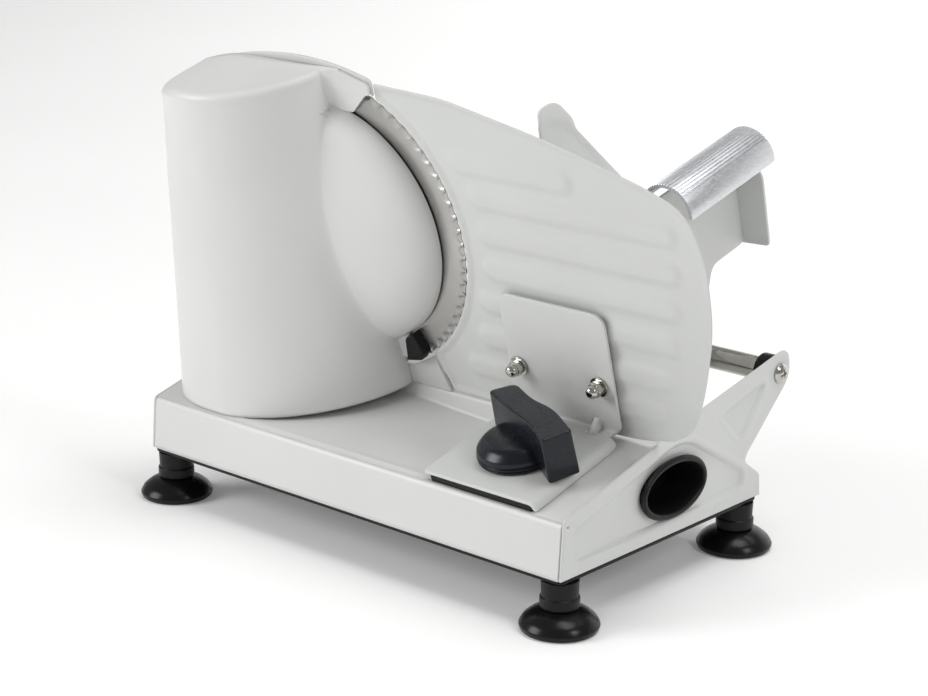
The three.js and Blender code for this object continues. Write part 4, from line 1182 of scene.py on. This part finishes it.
def rod_screw(side):
    """Pan head with a cross recess."""
    sign = 1 if side == "right" else -1
    face = HALF_LENGTH + 0.3
    head_top, recess_depth, segments = 3.3, 1.7, 96

    def place(a, b, h):
        return at_head(sign * (face + h), ROD_N + a, ROD_U + b)

    domed = (*np.linspace(0.01, 5.2, 30), 5.6, 5.85, 6.0)
    profile = [(r, head_top * (1 - (r / 6.4) ** 2.6)) for r in domed] + [(6.0, 0.5), (5.8, 0.0)]
    rows = []
    for r, height in profile:
        row = []
        for k in range(segments):
            t = 2 * math.pi * k / segments
            a, b = r * math.cos(t), r * math.sin(t)
            arm = min(abs(a) + 0.12 * abs(b), abs(b) + 0.12 * abs(a))
            reach = max(abs(a), abs(b))
            cross = (1 - smooth_step(arm, 0.55, 0.95)) * (1 - smooth_step(reach, 2.6, 3.5))
            row.append(place(a, b, max(height - recess_depth * float(cross), 0.0)))
        rows.append(row)
    shank = lathe([(0, 0), (2.4, 0), (2.4, -14), (0, -14)], place, 24)
    under = lathe([(5.8, 0), (2.4, 0)], place, segments)
    return merged(grid(rows, wrap_columns=True), under, shank)


def slide_rod():
    """Plain plated bar with broken ends."""
    (x0, x1), (near, far), _ = head_box("slide_rod")
    radius = (far - near) / 2
    return lathe(rounded([
        (0, x0), (radius, x0, 0.8), (radius, x0 + 40), (radius, x1 - 40), (radius, x1, 0.8), (0, x1),
    ], 4, closed=False), about_x(ROD_N, ROD_U), 80)


make("slide_rod_plated", slide_rod(), "slide_rod")
for side in SIDES:
    make(f"rod_screw_{side}_plated", rod_screw(side), f"rod_screw_{side}", sharp=50)
    bumper = f"rod_bumper_{side}"
    tube = sleeve(7.3, 10, head_range(bumper, 0), 0.4, 1.4, about_x(ROD_N, ROD_U), 5)
    make(f"{bumper}_moulded", tube, bumper)

# -------- carriage

WALL_X0, WALL_X1 = 108.5, 110.3
TABLE_TOP = 93.0
GUIDE_X, GUIDE_U = middle("guide_rod", 0), middle("guide_rod", 2)


def carriage_wall():
    """Upright wall with the hand guard's tall corner, and a flat flange set square to it at its far end."""
    low, high = WALL_X0, WALL_X1
    foot = TABLE_TOP + 0.3
    shape = resampled(rounded([
        (20.5, foot, 1), (20.5, 277.5, 5), (36, 277.5, 8), (47, 262, 6), (48, 256, 4), (77, 216),
        (93, 193, 4), (104, 186, 3), (182, 186, 3), (182, 123, 6), (148, 123, 6), (136.5, 99.3, 4),
        (136.5, foot, 1),
    ], 8), 3)

    def lift(points):
        arc_line = 268.5 - 0.022 * (points[:, 0] - 20.5) ** 2
        return 0.9 * smooth_step(points[:, 1] - arc_line, -1.5, 2.5)

    upright = plate(shape, about_x(0, 0), low, high, (), 0.6, 2.6, lift)
    end_flange = plate(rounded([
        (low, 123, 1), (130, 124, 3), (131, 170, 4), (126, 178, 4), (low, 178, 1),
    ]), about_n(0, 0), 180, 182, edge=0.6)
    foot_flange = plate(rounded([
        (92, 24, 2), (high, 24, 1), (high, 136, 1), (92, 136, 2),
    ]), about_u(0, 0), foot, foot + 1.8, edge=0.6)
    tabs = []
    for n in (27, 150):
        outline = rounded([(low + 0.5, 152, 1), (low + 0.5, 170, 1), (93, 168, 6), (93, 154, 6)])
        tabs.append(plate(outline, about_n(0, 0), n, n + 2.2, [circle(GUIDE_X, GUIDE_U, 4.5, 24)], edge=0.5))
    return merged(upright, end_flange, foot_flange, *tabs)


make("carriage_wall_folded", carriage_wall(), "carriage_wall")


def carriage_grip():
    """Half-round extrusion with fine ribs along its top."""
    radius, sheet = 17.3, 2.6
    x, u = 119.3, 180.7
    start, end, flutes, ribbed = 150, -8, 24, 0.7
    outer = []
    for k in range(flutes * 8 + 1):
        part = k / (flutes * 8)
        dip = 0.6 * max(0.0, math.sin(part * flutes * 2 * math.pi)) if part < ribbed else 0.0
        t = math.radians(start + (end - start) * part)
        outer.append(np.array((x + (radius - dip) * math.cos(t), u + (radius - dip) * math.sin(t))))
    inner = arc(x, u, radius - sheet, end, start, 40)
    n0, n1 = head_range("carriage_grip", 1)
    return plate([*outer, *inner], about_n(0, 0), n0, n1, edge=0.35, steps=2)


make("carriage_grip_extruded", carriage_grip(), "carriage_grip", sharp=30)


def carriage_table():
    """Food table with low glide ribs and a rear lip."""
    (x0, x1), (n0, n1), _ = head_box("carriage_table")
    outline = resampled(rectangle(x0, n0, x1, n1, 5, 6), 3)
    first, pitch = n0 + 22, 18
    ridges = [(x0 + 12.15, x1 - 26.15, first + i * pitch) for i in range(5)]
    lift = capsule_relief(ridges, 1.1, 1.85, 1.35)
    sheet = plate(outline, about_u(0, 0), TABLE_TOP - 2.5, TABLE_TOP, (), 0.7, 2.2, lift)
    lip = plate(rounded([
        (x0 + 6, TABLE_TOP - 1, 0.5), (x1 - 6, TABLE_TOP - 1, 0.5),
        (x1 - 6, TABLE_TOP + 7, 4), (x0 + 6, TABLE_TOP + 7, 4),
    ]), about_n(0, 0), n1 - 2.5, n1 - 0.2, edge=0.7)
    return merged(sheet, lip)


make("carriage_table_pressed", carriage_table(), "carriage_table")


def slider_block():
    """Block bored for the two bushes."""
    (x0, x1), (n0, n1), (u0, u1) = head_box("slider_block")
    outline = rounded([(n0, u0, 8), (n1, u0, 8), (n1, u1, 1.5), (n0, u1, 1.5)])
    return plate(outline, about_x(0, 0), x0, x1, [circle(ROD_N, ROD_U, 9.7, 64)], edge=1.0)


make("slider_block_moulded", slider_block(), "slider_block")

for side in SIDES:
    bush = f"slider_bush_{side}"
    tube = sleeve(7.3, 9.2, head_range(bush, 0), 0.3, 0.3, about_x(ROD_N, ROD_U))
    make(f"{bush}_turned", tube, bush)


def glide_shoe():
    """Low runner under the table."""
    (x0, x1), (n0, n1), (u0, u1) = head_box("glide_shoe")
    return plate(rectangle(x0, n0, x1, n1, 2.5), about_u(0, 0), u0, u1, edge=0.8)


make("glide_shoe_moulded", glide_shoe(), "glide_shoe")

guide_n = head_range("guide_rod", 1)
make("guide_rod_plated", lathe(rounded([
    (0, guide_n[0]), (4, guide_n[0], 0.8), (4, guide_n[1], 0.8), (0, guide_n[1]),
], 4, closed=False), about_n(GUIDE_X, GUIDE_U), 48), "guide_rod")


def pusher_plate():
    """Food pusher: a thick plate, nine spikes and a bored boss."""
    near, far, spike_pitch = 96, 99, 22
    outline = rounded([(15, 96, 8), (90, 96, 8), (106, 110, 8), (106, 172, 8), (15, 176, 14)], 9)
    bore = circle(GUIDE_X, GUIDE_U, 4.5, 32)
    parts = [plate(outline, about_n(0, 0), near, far, [bore], edge=1.0)]
    parts.append(sleeve(4.5, 6.6, (92, 108), 0.3, 0.8, about_n(GUIDE_X, GUIDE_U), 4, 48))
    for row in range(3):
        for column in range(3):
            spike = rounded([(2.5, 96.3), (1.7, 94, 1.5), (0.3, 89.2, 0.2), (0, 89)], 4, closed=False)
            parts.append(lathe(spike, about_n(32 + spike_pitch * column, 112 + spike_pitch * row), 24))
    return merged(*parts)


make("pusher_plate_moulded", pusher_plate(), "pusher_plate")
handle_n = head_range("pusher_handle", 1)
make("pusher_handle_moulded", lathe(rounded([
    (0, handle_n[0]), (11, handle_n[0], 1), (8, handle_n[0] + 7, 5), (8, handle_n[1] - 13, 5),
    (12, handle_n[1] - 6.5, 3), (10.6, handle_n[1] - 1, 3), (0, handle_n[1]),
], 7, closed=False), about_n(middle("pusher_handle", 0), middle("pusher_handle", 2)), 72), "pusher_handle")

# -------- parts that stay as the frame has them

for node, part in frame["nodes"].items():
    if not part.hide_render:
        part.data.materials.clear()
        part.data.materials.append(MATERIALS[SLOT_OF[node]])

# -------- floor and light


def studio():
    """A pale sweep of paper and large soft lamps."""
    nodes = Nodes("studio_paper")
    nodes.colour(nodes.noise(3, 2), (0.93, 0.93, 0.925), (0.95, 0.95, 0.945))
    nodes.set(Roughness=0.8, Emission_Color=(1, 1, 1, 1), Emission_Strength=0.12)
    side, front, back, rise = 7.0, -6.0, 4.0, 2.5
    just_below, bend = -0.0004, 0.8
    rows = []
    for t in np.linspace(0, 1, 25):
        y = front + (back - front) * min(t / bend, 1)
        z = just_below + rise * (max(t - bend, 0) / (1 - bend)) ** 2
        rows.append([(x, y, z) for x in np.linspace(-side, side, 9)])
    points, faces = grid(rows)
    mesh = bpy.data.meshes.new("studio_floor")
    mesh.from_pydata(points, [], faces)
    mesh.shade_smooth()
    mesh.materials.append(nodes.material)
    floor = bpy.data.objects.new("studio_floor", mesh)
    bpy.context.scene.collection.objects.link(floor)

    world = bpy.data.worlds.new("studio")
    world.use_nodes = True
    background = world.node_tree.nodes["Background"]
    background.inputs["Color"].default_value = (1, 1, 1, 1)
    background.inputs["Strength"].default_value = 0.34
    bpy.context.scene.world = world
    bpy.context.scene.view_settings.view_transform = "Standard"

    middle_of_object = (0, 0, 0.12)

    def lamp(name, location, size_x, size_y, power, target=middle_of_object):
        data = bpy.data.lights.new(name, "AREA")
        data.shape = "RECTANGLE"
        data.size, data.size_y = size_x, size_y
        data.energy = power
        light = bpy.data.objects.new(name, data)
        bpy.context.scene.collection.objects.link(light)
        light.location = location
        aim = Vector(target) - Vector(location)
        light.rotation_mode = "QUATERNION"
        light.rotation_quaternion = aim.to_track_quat("-Z", "Y")

    lamp("key", (-1.2, -1.6, 1.0), 1.0, 1.0, 23)
    lamp("top", (0.5, 0.1, 1.8), 0.8, 0.8, 10)
    lamp("right", (1.7, -0.1, 1.3), 0.5, 0.5, 7)
    lamp("paper", (0, 1.6, 2.4), 2.4, 1.0, 60, (0, 4.2, 0.2))


studio()
